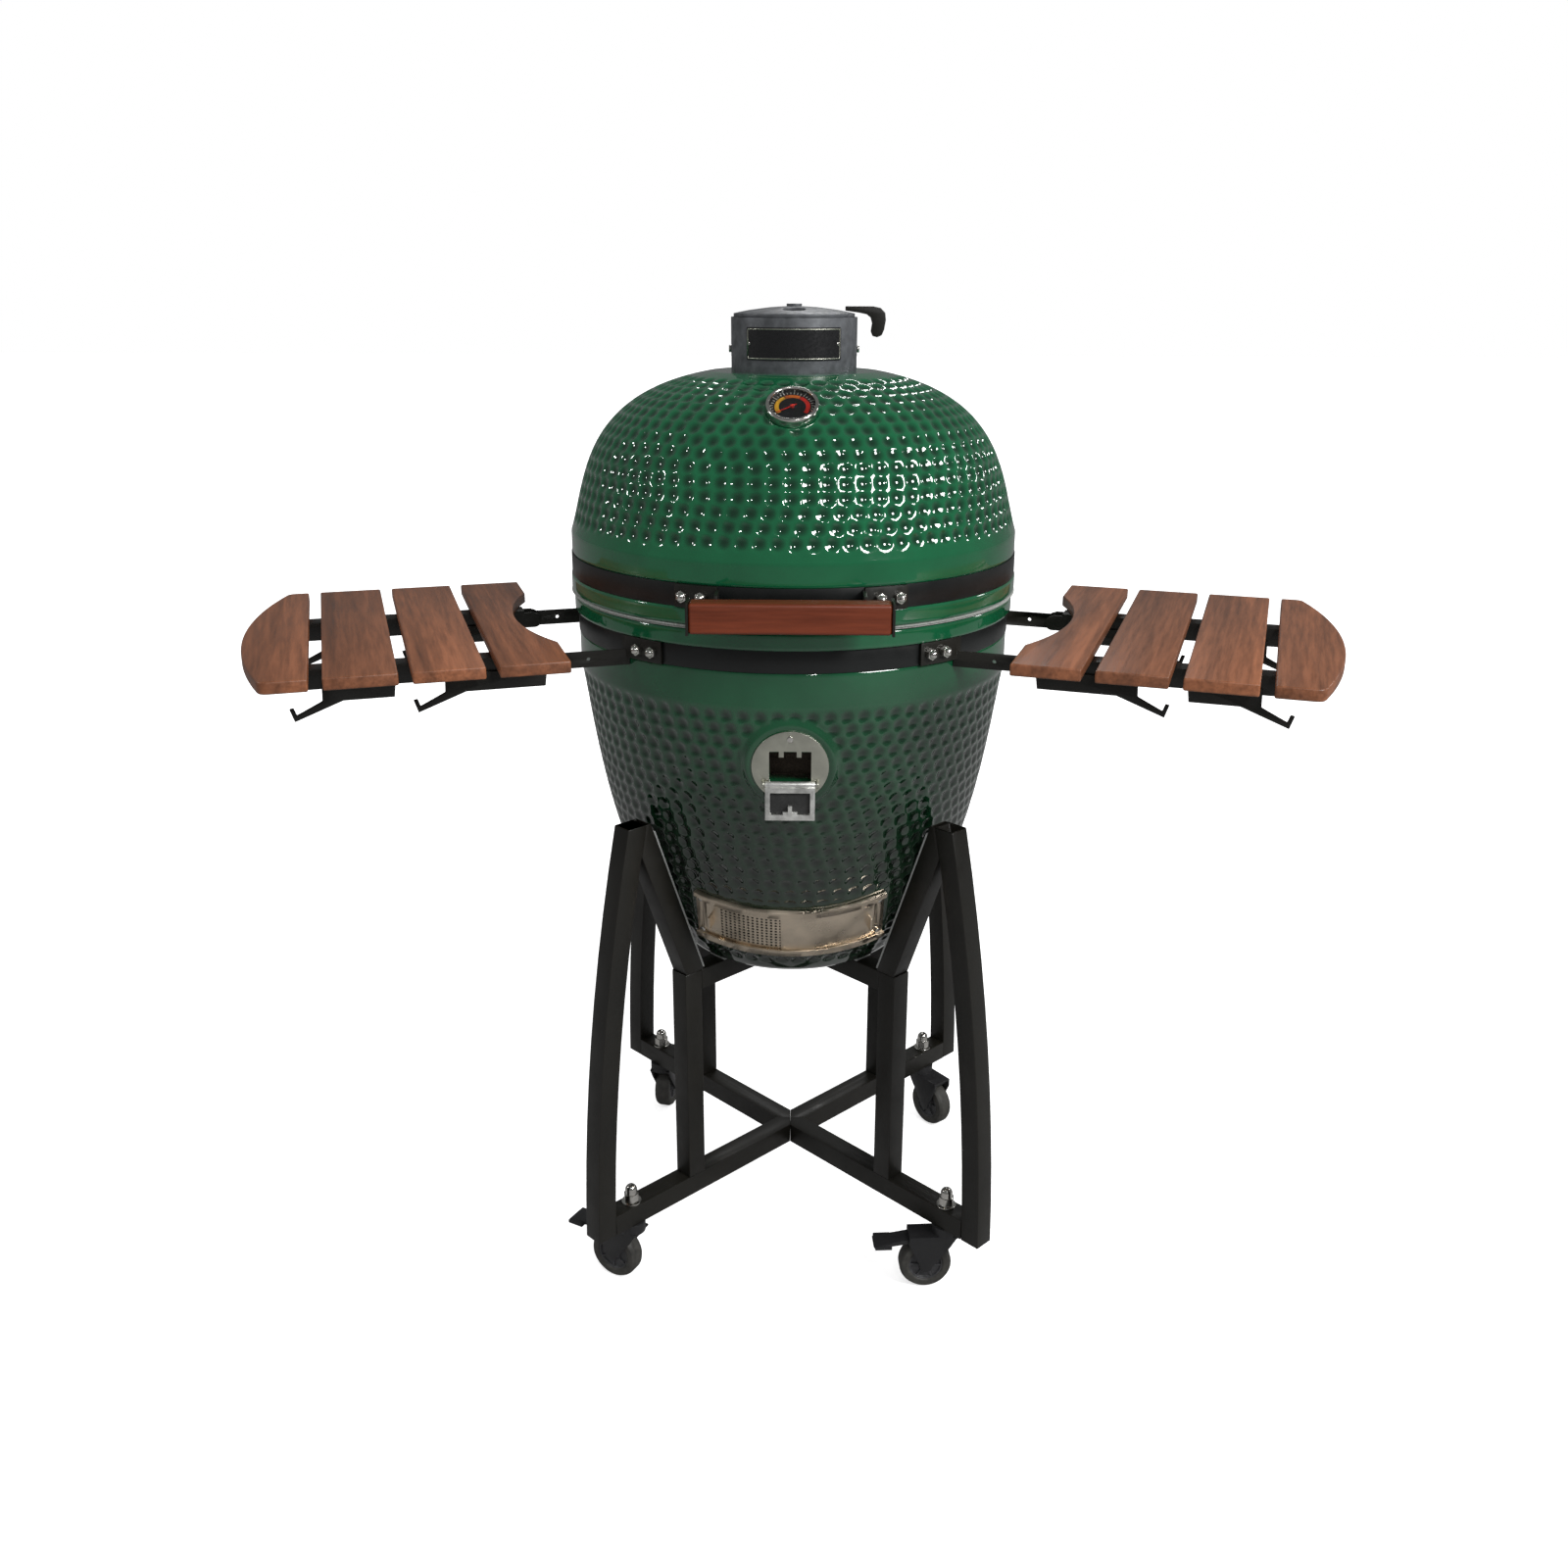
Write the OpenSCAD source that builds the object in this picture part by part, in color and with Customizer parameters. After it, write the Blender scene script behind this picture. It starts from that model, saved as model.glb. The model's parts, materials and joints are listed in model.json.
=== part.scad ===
// Egg-shaped ceramic charcoal grill on a wheeled stand, with two folding slatted side shelves.
// Millimetres, +Z up. The origin is on the floor, under the middle of the overall box.
// The front is -Y: handle, thermometer and both air vents face it. The lid hinge is at +Y.

/* [Ceramic body] */
// Outer radius of lid and base near the split between them
body_r = 300; // [250:1:360]
// Height of the split above the floor
split_z = 980; // [900:1:1080]
// Height of the dome from the split to the foot of the cap
dome_h = 284; // [236:1:340]
// Depth of the base from the split to its flat underside
base_h = 518; // [440:1:560]
// Wall of the lid
lid_wall = 20; // [16:1:24]
// Wall of the base
base_wall = 22; // [18:1:27]
// Radius of the chimney hole in the lid
chimney_r = 58; // [48:1:66]
// Thickness of one rim gasket
gasket_t = 2; // [1.5:0.1:3]

/* [Bands and hinge] */
// Thickness of the steel bands
band_t = 3; // [2:0.5:4]
// Height of the bands
band_h = 28; // [24:1:32]
// Plate thickness of everything bolted to the bands
plate_t = 4; // [3:0.5:5]
// Distance of the lid hinge pin behind the ceramic
hinge_out = 62; // [52:1:75]
// Radius of the hinge pin
hinge_pin_r = 6; // [5:0.5:8]
// Half of the distance between the fixed hinge ears
hinge_half_w = 58; // [48:1:70]

/* [Handle] */
// Length of the wooden handle bar
handle_len = 234; // [200:1:280]
// Height of the handle bar
handle_h = 36; // [28:1:40]
// Depth of the handle bar
handle_d = 30; // [22:1:34]
// Finger gap behind the handle bar
handle_gap = 29; // [24:1:45]

/* [Cap and thermometer] */
// Outer radius of the cap collar
cap_r = 82.5; // [76:0.5:99]
// Height of the cap collar
cap_h = 67; // [56:1:80]
// Radius of the thermometer bezel
gauge_r = 32; // [26:0.5:38]

/* [Vents] */
// Height of the draught port centre above the floor
port_z = 807.5; // [780:0.5:830]
// Radius of the draught port plate
port_r = 48; // [42:0.5:55]
// Lower edge of the ash vent above the floor
vent_z = 509; // [495:1:530]
// Half of the angle that the ash vent bends through
vent_half = 32; // [27:0.5:33]

/* [Side shelves] */
// Angle by which each shelf is turned towards the front
shelf_turn = 18; // [0:1:22]
// Width of one slat
slat_w = 82; // [66:1:98]
// Length of the slats
slat_len = 495; // [440:1:560]
// Thickness of the slats
slat_t = 15; // [12:0.5:18]
// Gap between the slats
slat_gap = 15.5; // [10:0.5:22]
// Gap between the ceramic and the inner end of the shelf
shelf_out = 50; // [46:1:62]

/* [Stand] */
// Side of the square tubes
tube = 30; // [25:1:36]
// Wall of the square tubes
tube_wall = 2; // [1.5:0.5:3]
// Distance of the foot of each outer leg from the body axis
foot_r = 388; // [360:1:430]
// Height of the top of the legs above the floor
leg_top = 700; // [660:1:730]
// Slope of the saddle tubes from upright
saddle_lean = 20; // [18:0.5:22]

/* [Casters] */
// Radius of the wheels
wheel_r = 37.5; // [31:0.5:45]
// Width of the wheels
wheel_w = 25; // [20:1:30]
// Trail of the wheel behind its swivel stem
trail = 28; // [24:1:36]
// Radius of the stem bolt
stem_r = 6; // [5:0.5:7]

/* [Hidden] */
$fn = 64;
move_gap = 0.3;              // between pieces that move past each other
run_gap = 0.05;              // radial clearance of a pin that turns in a hole
cut = 1;                     // how far a cutter runs past a face

// Heights of the ceramic body
base_top = split_z - gasket_t;
lid_bot = split_z + move_gap + gasket_t;
base_bot = split_z - base_h;
crown_z = split_z + dome_h;
rim_h = 22;                  // height of the moulded rim rings
rim_gap = 0.6;               // room between a rim ring and the hinge
screw_head_r = 4.5;
band_seat = 2;               // depth of the groove a band lies in
upper_band_z = lid_bot + rim_h;
lower_band_z = base_top - rim_h - band_h;
shoulder_z = upper_band_z + band_h + 28;
base_ring_z = lower_band_z - 45;
base_r = body_r - 6;         // radius of the plain ring under the lower band
upper_band_r = body_r - band_seat;
lower_band_r = base_r - band_seat;
neck_r = cap_r - 7;
neck_h = 12;

// Curved outlines, drawn as cubic curves from four guide points; inset moves them inwards
function cubic(p, t) = pow(1 - t, 3) * p[0] + 3 * pow(1 - t, 2) * t * p[1]
                     + 3 * (1 - t) * t * t * p[2] + t * t * t * p[3];
function curve(p, n) = [for (i = [0:n]) cubic(p, i / n)];
function lid_guide(inset) = [
    [body_r - inset, shoulder_z],
    [body_r - 22 - inset, shoulder_z + 66],
    [body_r - 17 - 1.3 * inset, crown_z - 30 - inset],
    [cap_r + 28 - inset / 2, crown_z - inset]];
function base_guide(inset) = [
    [base_r - inset, base_ring_z],
    [base_r - 16 - inset, base_ring_z - 94],
    [base_r - 31 - inset, base_bot + 118 + inset],
    [base_r - 134 - inset / 2, base_bot + 8 + inset]];
curve_steps = 18;
lid_curve = curve(lid_guide(0), curve_steps);
base_curve = curve(base_guide(0), curve_steps);
function base_r_at(z) = lookup(z, [for (p = base_curve) [p[1], p[0]]]);
function lid_z_at(r) = lookup(r, [for (p = lid_curve) [p[0], p[1]]]);
foot_flat_r = base_r - 146;

// Hinge of the lid
hinge_y = body_r + hinge_out;
hinge_z = split_z + 1;
hinge_eye_r = hinge_pin_r + 8;
ear_t = 5;
ear_gap = 2;
hinge_half_angle = 16;
hinge_nut_angle = 13;

// Shelves, in a frame turned about the body axis with +X pointing out along the arms
shelf_in = body_r + shelf_out;
shelf_top = split_z - 23;
slat_pitch = slat_w + slat_gap;
slat_front = -slat_len / 2 - 8.5;
slat_back = slat_front + slat_len;
shelf_end = shelf_in + 3 * slat_pitch + slat_w - 4.5;
shelf_end_r = 850;           // radius of the bowed outer edge
shelf_end_y = -50;           // where along the slats it bows out most
shelf_corner_r = 12;
shelf_bay_r = body_r + 83;
arm_w = 30;
arm_wall = 3;
arm_inset = 117;
arm_rows = [slat_front + arm_inset, slat_back - arm_inset - 4];
pivot_x = shelf_in - 5;
pivot_r = 4;
pivot_drop = 11;
web_z = shelf_top - slat_t - arm_wall;
pivot_z = web_z - pivot_drop;
pivot_eye_r = pivot_drop - 1;
arm_bot = pivot_z - pivot_eye_r;
hook_t = 4;
hook_drop = 15;
hook_tip_drop = 22;
bracket_plate_angle = 12;

// The overall box is centred on the origin front to back: its front is the round corner of an end slat
corner_dy = slat_front + shelf_corner_r - shelf_end_y;
corner_x = shelf_end - shelf_end_r + sqrt(pow(shelf_end_r - shelf_corner_r, 2) - pow(corner_dy, 2));
front_reach = corner_x * sin(shelf_turn) - (slat_front + shelf_corner_r) * cos(shelf_turn) + shelf_corner_r;
back_reach = hinge_y + hinge_eye_r;
axis_y = (front_reach - back_reach) / 2;

// Stand
caster_h = 2 * wheel_r + tube - 5;
cross_bot = caster_h;
cross_top = cross_bot + tube;
felt_t = 3;
saddle_base_z = base_bot - felt_t;
saddle_k = tan(saddle_lean);
saddle_r = max([for (p = base_curve) p[0] - saddle_k * (p[1] - saddle_base_z)]);
saddle_w = tube / cos(saddle_lean);
post_r = saddle_r + felt_t + saddle_w / 2 + 3;
leg_bow = 16;                // how far the outer legs bow out of straight
mitre_gap = 0.2;             // weld gap between the mitred ends
leg_top_r = saddle_r + felt_t + saddle_k * (leg_top - saddle_base_z) + saddle_w + 5;
stem_at = foot_r - 70;
leg_steps = 10;
function leg_out(z) = let (t = (z - cross_bot) / (leg_top - cross_bot))
    foot_r + (leg_top_r - foot_r) * t + 4 * leg_bow * t * (1 - t);
function leg_edge(inset) = [for (i = [0:leg_steps])
    let (z = cross_bot + (leg_top - cross_bot) * i / leg_steps) [leg_out(z) - inset, z]];
function reversed(list) = [for (i = [len(list) - 1:-1:0]) list[i]];
cross_len = min(leg_out(cross_bot), leg_out(cross_top)) - tube;

// Draught port: its plate leans with the wall of the base
port_lean = atan2(base_r_at(port_z + port_r / 2) - base_r_at(port_z - port_r / 2), port_r);
port_rim_r = port_r + 8;
port_wall_r = base_r_at(port_z);
port_face = 3;               // outer face of the plate over the wall
port_win_w = 54;
port_win_h = 44;
flap_half_w = 31;
flap_h = 43;
flap_t = 8;
flap_pin_r = 2;
flap_local = [-port_win_h / 2, port_face + flap_t / 2 + 1];
flap_y = -port_wall_r - flap_local[0] * sin(port_lean) - flap_local[1] * cos(port_lean);
flap_z = port_z + flap_local[0] * cos(port_lean) - flap_local[1] * sin(port_lean);

// Ash vent: a strip bent round a cylinder that leans with the wall; its screen and door slide round it
vent_h = 81;
vent_r0 = base_r_at(vent_z) + 1;
vent_r1 = base_r_at(vent_z + vent_h) + 1;
vent_lean = atan2(vent_r1 - vent_r0, vent_h);
vent_len = vent_h / cos(vent_lean);
vent_rc = (vent_r0 + vent_r1) / 2 / cos(vent_lean);   // radius of that cylinder
vent_axis_y = vent_rc * cos(vent_lean) - vent_r0;
vent_axis_z = vent_z + vent_rc * sin(vent_lean);
rail_h = 8;
vent_rim = 14;               // solid margin above and below the vent's window
vent_back_t = 1.5;
vent_deep = 7;
screen_t = 1;
door_t = 1.2;
screen_n = vent_back_t + move_gap;
door_n = screen_n + screen_t + 0.4;
vent_win_half = vent_half - 6.5;
slide_half = vent_win_half + 2.5;
screen_span = slide_half;
door_span = slide_half + 3;

// Cap
cap_wall = 5;
cap_top = crown_z + cap_h;
cap_web_z = cap_top - 8;
disc_r = cap_r - 3.5;
disc_t = 4;
disc_rise = 9;
air_hole_r = 15;
air_hole_at = 44;
rivet_r = 5;

// Thermometer, standing square on the dome
gauge_at = body_r - 95;
gauge_z = lid_z_at(gauge_at);
gauge_lean = 35;
gauge_sink = 3;
gauge_deep = 12;

// Cap nuts
nut8 = [7.5, 6.5, 5.5, 4];   // corner radius, hex height, dome radius, bolt radius
nut12 = [11, 12, 8.5, stem_r];

// Casters
caster_sides = [[-1, -1], [1, -1], [-1, 1], [1, 1]];
caster_heading = [152, 184, 78, -52];
fork_gap = 1.5;
fork_t = 3;
fork_crown_z = 2 * wheel_r + 9;
axle_r = 4;
pedal_x = trail + 16;
pedal_z = 2 * wheel_r + 3;
pedal_pin_r = 3;

// Fire bowl, ring and grates inside the base
bowl_gap = 10;
bowl_wall = 16;
bowl_top = base_bot + 238;
bowl_bot = base_bot + base_wall + 14;
grate_r = 88;
ring_wall = 16;
ring_r = base_r - base_wall - 44;
grid_z = base_top - 55;
grid_rod_r = 3;

black = [0.05, 0.05, 0.055];
green = [0.02, 0.22, 0.11];
steel = [0.72, 0.72, 0.7];
clay = [0.62, 0.52, 0.42];

// ---------- placing ----------

module on_axis() { translate([0, axis_y, 0]) children(); }

// Four copies, one on each diagonal of the stand, with +X pointing outwards
module on_diagonals() {
    on_axis() for (a = [45:90:315]) rotate([0, 0, a]) children();
}

// A flat outline in the plane of one stand frame, drawn in distance from the axis and height
module upright(thick) {
    rotate([90, 0, 0]) translate([0, 0, -thick / 2]) linear_extrude(thick) children();
}

// Round about the body axis at an angle counted from the front towards +X
module round_at(angle, r, z) {
    rotate([0, 0, angle - 90]) translate([r, 0, z]) rotate([0, 90, 0]) children();
}

// A piece of a ring between two angles counted from the front towards +X
module arc_plate(r0, r1, z0, z1, a0, a1) {
    rotate([0, 0, a0 - 90]) rotate_extrude(angle = a1 - a0)
        translate([r0, z0]) square([r1 - r0, z1 - z0]);
}

module shelf_frame(side) {
    mirror([side < 0 ? 1 : 0, 0, 0]) on_axis() rotate([0, 0, -shelf_turn]) children();
}

module port_frame() {
    on_axis() translate([0, -port_wall_r, port_z]) rotate([90 + port_lean, 0, 0]) children();
}

module gauge_frame() {
    on_axis() translate([0, -gauge_at, gauge_z - gauge_sink]) rotate([gauge_lean, 0, 0]) children();
}

// Casters stand on the diagonals; each has its own heading at rest
module caster_frame(i) {
    side = caster_sides[i];
    on_axis() translate([side[0] * stem_at * cos(45), side[1] * stem_at * sin(45), 0])
        rotate([0, 0, caster_heading[i]]) children();
}

// ---------- shared shapes ----------

// Acorn nut with its bolt, standing on z = 0, the bolt running down
module acorn_nut(n, bolt_len) {
    cylinder(r = n[0], h = n[1], $fn = 6);
    translate([0, 0, n[1]]) sphere(r = n[2]);
    if (bolt_len > 0) translate([0, 0, -bolt_len]) cylinder(r = n[3], h = bolt_len);
}

module at_bracket_nuts() {
    for (side = [-1, 1]) shelf_frame(side) for (row = arm_rows) {
        edge = asin(row / (lower_band_r + band_t + plate_t));
        step = sign(row);
        for (k = [5, 9.5])
            round_at(90 + edge + step * k, lower_band_r + band_t + plate_t, lower_band_z + band_h / 2)
                children();
    }
}

module at_hinge_nuts(band_r, z) {
    on_axis() for (a = [-1, 1]) round_at(180 + a * hinge_nut_angle, band_r + band_t + plate_t, z) children();
}

module at_handle_nuts() {
    on_axis() for (side = [-1, 1], k = [0.82, 1])
        round_at(side * asin(k * handle_nut_x / upper_band_r), upper_band_r + band_t + plate_t,
            upper_band_z + band_h / 2) children();
}

bolt_run = band_t + plate_t;
module bolt_hole() { translate([0, 0, -bolt_run - cut]) cylinder(r = nut8[3] + 0.2, h = bolt_run + 2 * cut); }

// A square tube with both ends open, along +X from x0 to x1
module tube_x(x0, x1, z0) {
    difference() {
        translate([x0, -tube / 2, z0]) cube([x1 - x0, tube, tube]);
        translate([x0 - cut, -tube / 2 + tube_wall, z0 + tube_wall])
            cube([x1 - x0 + 2 * cut, tube - 2 * tube_wall, tube - 2 * tube_wall]);
    }
}

// The same with its inner end cut to a point, so that four of them meet in a mitred cross
module mitred_tube(x1, z0) {
    intersection() {
        tube_x(0, x1, z0);
        translate([0, 0, z0 - cut]) linear_extrude(tube + 2 * cut)
            polygon([[mitre_gap, 0], [tube / 2 + mitre_gap, tube / 2], [x1 + cut, tube / 2],
                [x1 + cut, -tube / 2], [tube / 2 + mitre_gap, -tube / 2]]);
    }
}

// ---------- stand ----------

module stand_cross_tubes() {
    color(black) difference() {
        on_diagonals() mitred_tube(cross_len, cross_bot);
        on_diagonals() translate([stem_at, 0, cross_bot - cut])
            cylinder(r = stem_r + 0.2, h = tube + 2 * cut);
    }
}

module stand_posts() {
    color(black) on_diagonals() difference() {
        translate([post_r - tube / 2, -tube / 2, cross_top]) cube([tube, tube, saddle_base_z - cross_top]);
        translate([post_r - tube / 2 + tube_wall, -tube / 2 + tube_wall, cross_top - cut])
            cube([tube - 2 * tube_wall, tube - 2 * tube_wall, saddle_base_z - cross_top + 2 * cut]);
    }
}

module leg_outline(inset) {
    polygon(concat(leg_edge(inset), reversed(leg_edge(tube - inset))));
}

module stand_outer_legs() {
    color(black) on_diagonals() difference() {
        upright(tube) leg_outline(0);
        upright(tube - 2 * tube_wall) leg_outline(tube_wall);
    }
}

// The saddle tubes carry the base; each is cut off where it meets its leg
module saddle_outline(inset) {
    r0 = saddle_r + felt_t + inset / cos(saddle_lean);
    w = saddle_w - 2 * inset / cos(saddle_lean);
    rise = leg_top - saddle_base_z;
    polygon([[r0, saddle_base_z], [r0 + w, saddle_base_z],
        [r0 + w + saddle_k * rise, leg_top], [r0 + saddle_k * rise, leg_top]]);
}

module stand_saddle_tubes() {
    color(black) on_diagonals() difference() {
        upright(tube) saddle_outline(0);
        upright(tube - 2 * tube_wall) saddle_outline(tube_wall);
        upright(tube + 2 * cut) leg_outline(0);
    }
}

module stand_upper_cross() {
    color(black) on_diagonals() mitred_tube(post_r - tube / 2, saddle_base_z - tube);
}

module felt_strips() {
    rise = leg_top - base_bot - 12;
    r0 = saddle_r + saddle_k * felt_t;
    color([0.42, 0.43, 0.42]) on_diagonals() {
        upright(tube) polygon([[r0, base_bot], [r0 + felt_t, base_bot],
            [r0 + felt_t + saddle_k * rise, base_bot + rise], [r0 + saddle_k * rise, base_bot + rise]]);
        translate([tube / 2, -tube / 2, saddle_base_z]) cube([foot_flat_r - tube / 2, tube, felt_t]);
    }
}

stem_head_h = 3;
module caster_stems() {
    color(steel) on_diagonals() translate([stem_at, 0, fork_crown_z - move_gap]) {
        cylinder(r = stem_r, h = cross_top - fork_crown_z + 8);
        translate([0, 0, -stem_head_h]) cylinder(r = stem_r + 4, h = stem_head_h);
    }
}

module stem_nuts() {
    color(steel) on_diagonals() translate([stem_at, 0, cross_top]) difference() {
        union() {
            cylinder(r = nut12[0] + 3, h = 2.5);
            translate([0, 0, 2.5]) acorn_nut(nut12, 0);
            translate([0, 0, 2.5]) cylinder(r = nut12[2], h = nut12[1] + 6);
            translate([0, 0, nut12[1] + 8.5]) sphere(r = nut12[2]);
        }
        translate([0, 0, -cut]) cylinder(r = stem_r, h = 9 + cut);
    }
}

// ---------- ceramic base and what is in it ----------

module base_outline() {
    polygon(concat(
        [[base_top_in, base_top], [body_r - 1, base_top], [body_r - 1, base_top - rim_h],
         [lower_band_r, base_top - rim_h], [lower_band_r, lower_band_z], [base_r, lower_band_z]],
        base_curve,
        [[foot_flat_r, base_bot], [0, base_bot], [0, base_bot + base_wall]],
        reversed(curve(base_guide(base_wall), curve_steps))));
}
base_top_in = base_r - base_wall;

module vent_place() {
    on_axis() translate([0, vent_axis_y, vent_axis_z]) rotate([vent_lean, 0, 0]) children();
}

// Curved cutter or plate of the ash vent: s runs up its cylinder, n runs out from it
module vent_piece(s0, s1, n0, n1, a0, a1) {
    arc_plate(vent_rc + n0, vent_rc + n1, s0, s1, a0, a1);
}

module port_window(z0, z1, grow) {
    translate([-port_win_w / 2 - grow, -port_win_h / 2 - grow, z0])
        cube([port_win_w + 2 * grow, port_win_h + 2 * grow, z1 - z0]);
}

module base_shell() {
    color(green) difference() {
        union() {
            on_axis() rotate_extrude() base_outline();
            port_frame() translate([0, 0, -12]) cylinder(r = port_rim_r, h = 12 + port_face - 2);
        }
        port_frame() port_window(-60, 10, 0);
        port_frame() translate([0, port_r - 10, -6]) cylinder(r = 2.5, h = 20);
        vent_place() {
            vent_piece(-1, vent_len + 1, 0, 30, -vent_half - 0.6, vent_half + 0.6);
            vent_piece(vent_rim, vent_len - vent_rim, -60, 10, -vent_win_half + 2, vent_win_half - 2);
        }
        at_vent_screws() translate([0, 0, -10]) cylinder(r = 2.5, h = 20);
    }
}

module base_gasket() {
    color([0.55, 0.55, 0.53]) on_axis()
        arc_ring(base_top_in + 2, body_r + 1.5, base_top, split_z);
}

module arc_ring(r0, r1, z0, z1) {
    rotate_extrude() translate([r0, z0]) square([r1 - r0, z1 - z0]);
}

// Fire bowl: follows the inside of the base, with an air window at the front
module fire_bowl() {
    inset = base_wall + bowl_gap;
    color(clay) on_axis() difference() {
        intersection() {
            rotate_extrude() polygon(concat([[0, base_ring_z]], curve(base_guide(inset), curve_steps), [[0, base_bot]]));
            translate([0, 0, bowl_bot]) cylinder(r = body_r, h = bowl_top - bowl_bot);
        }
        intersection() {
            rotate_extrude() polygon(concat([[0, base_ring_z]],
                curve(base_guide(inset + bowl_wall), curve_steps), [[0, base_bot + 10]]));
            translate([0, 0, bowl_bot + 18]) cylinder(r = body_r, h = bowl_top);
        }
        translate([0, 0, bowl_bot - cut]) cylinder(r = grate_r - 12, h = 40);
        translate([-60, -body_r, bowl_bot + 24]) cube([120, body_r, 40]);
    }
}

module fire_ring() {
    color(clay) on_axis() arc_ring(ring_r - ring_wall, ring_r, bowl_top, grid_z - grid_rod_r);
}

module charcoal_grate() {
    color(black) on_axis() translate([0, 0, bowl_bot + 18]) difference() {
        cylinder(r = grate_r, h = 6);
        for (i = [-3:3]) {
            half = sqrt(pow(grate_r - 14, 2) - pow(20 * i, 2));
            translate([20 * i - 4, -half, -cut]) cube([8, 2 * half, 6 + 2 * cut]);
        }
    }
}

module cooking_grid() {
    hoop = ring_r - ring_wall / 2;
    color(steel) on_axis() translate([0, 0, grid_z]) {
        rotate_extrude() translate([hoop, 0]) circle(r = grid_rod_r);
        for (i = [-10:10]) {
            half = sqrt(pow(hoop, 2) - pow(19 * i, 2));
            translate([19 * i, half, 0]) rotate([90, 0, 0]) cylinder(r = 2, h = 2 * half);
        }
    }
}

// ---------- bands, brackets and hinge ----------

module lower_band() {
    color(black) difference() {
        on_axis() arc_ring(lower_band_r, lower_band_r + band_t, lower_band_z, lower_band_z + band_h);
        at_bracket_nuts() bolt_hole();
        at_hinge_nuts(lower_band_r, lower_band_z + band_h / 2) bolt_hole();
    }
}

module upper_band() {
    color(black) difference() {
        on_axis() arc_ring(upper_band_r, upper_band_r + band_t, upper_band_z, upper_band_z + band_h);
        at_handle_nuts() bolt_hole();
        at_hinge_nuts(upper_band_r, upper_band_z + band_h / 2) bolt_hole();
    }
}

// One shelf bracket: a foot on the band and an arm with an open-topped notch for the shelf pin
module shelf_bracket(row) {
    r0 = lower_band_r + band_t;
    edge = asin(row / (r0 + plate_t));
    step = sign(row);
    a0 = 90 + edge - step;
    a1 = a0 + step * (bracket_plate_angle + 1);
    arc_plate(r0, r0 + plate_t, lower_band_z, lower_band_z + band_h, min(a0, a1), max(a0, a1));
    difference() {
        translate([0, row + plate_t / 2, 0]) rotate([90, 0, 0]) linear_extrude(plate_t) difference() {
            union() {
                translate([pivot_x, pivot_z]) circle(r = pivot_eye_r);
                translate([0, pivot_z - pivot_eye_r]) square([pivot_x, 2 * pivot_eye_r]);
            }
            translate([pivot_x, pivot_z]) circle(r = pivot_r + 0.1);
            translate([pivot_x - pivot_r - 0.1, pivot_z]) square([2 * pivot_r + 0.2, 2 * pivot_eye_r]);
            translate([pivot_x - 34, pivot_z]) circle(r = 2.5);
        }
        translate([0, 0, arm_bot - cut]) cylinder(r = r0, h = 2 * pivot_eye_r + 2 * cut);
    }
}

module shelf_brackets() {
    color(black) difference() {
        for (side = [-1, 1]) shelf_frame(side) for (row = arm_rows) shelf_bracket(row);
        at_bracket_nuts() bolt_hole();
    }
}

module band_nuts() {
    color(steel) {
        at_bracket_nuts() acorn_nut(nut8, bolt_run);
        at_hinge_nuts(lower_band_r, lower_band_z + band_h / 2) acorn_nut(nut8, bolt_run);
    }
}

module lid_nuts() {
    color(steel) {
        at_handle_nuts() acorn_nut(nut8, bolt_run);
        at_hinge_nuts(upper_band_r, upper_band_z + band_h / 2) acorn_nut(nut8, bolt_run);
    }
}

// A hinge ear, drawn in distance behind the axis and height
module hinge_ear(x, band_r, z0, eye) {
    translate([x + ear_t / 2, 0, 0]) rotate([90, 0, -90]) linear_extrude(ear_t) mirror([1, 0])
        difference() {
            union() {
                translate([hinge_y, hinge_z]) circle(r = eye);
                polygon([[band_r - 20, z0], [band_r - 20, z0 + band_h],
                    [hinge_y, hinge_z + (z0 > hinge_z ? eye : eye * 0.6)], [hinge_y + eye * 0.8, hinge_z],
                    [hinge_y, hinge_z - eye]]);
            }
            translate([hinge_y, hinge_z]) circle(r = hinge_pin_r + (z0 > hinge_z ? run_gap : 0));
        }
}

module hinge_half(band_r, z0, x, eye) {
    r0 = band_r + band_t;
    arc_plate(r0, r0 + plate_t, z0, z0 + band_h, 180 - hinge_half_angle, 180 + hinge_half_angle);
    difference() {
        for (side = [-1, 1]) hinge_ear(side * x, r0, z0, eye);
        translate([0, 0, z0 - 2 * band_h]) cylinder(r = r0, h = 5 * band_h);
        translate([0, 0, base_top - rim_h - rim_gap])
            cylinder(r = body_r + 2 + rim_gap, h = upper_band_z - base_top + rim_h + 2 * rim_gap);
    }
}

module hinge_base() {
    color(black) difference() {
        on_axis() hinge_half(lower_band_r, lower_band_z, hinge_half_w, hinge_eye_r);
        at_hinge_nuts(lower_band_r, lower_band_z + band_h / 2) bolt_hole();
    }
}

module hinge_arm() {
    color(black) difference() {
        on_axis() hinge_half(upper_band_r, upper_band_z, hinge_half_w - ear_t - ear_gap, hinge_eye_r - 1);
        at_hinge_nuts(upper_band_r, upper_band_z + band_h / 2) bolt_hole();
    }
}

module hinge_pin() {
    half = hinge_half_w + ear_t / 2;
    color(steel) on_axis() translate([-half, hinge_y, hinge_z]) rotate([0, 90, 0]) {
        cylinder(r = hinge_pin_r, h = 2 * half);
        translate([0, 0, -5]) cylinder(r = hinge_pin_r + 4, h = 5);
        translate([0, 0, 2 * half]) cylinder(r = hinge_pin_r + 4, h = 5);
    }
}

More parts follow.
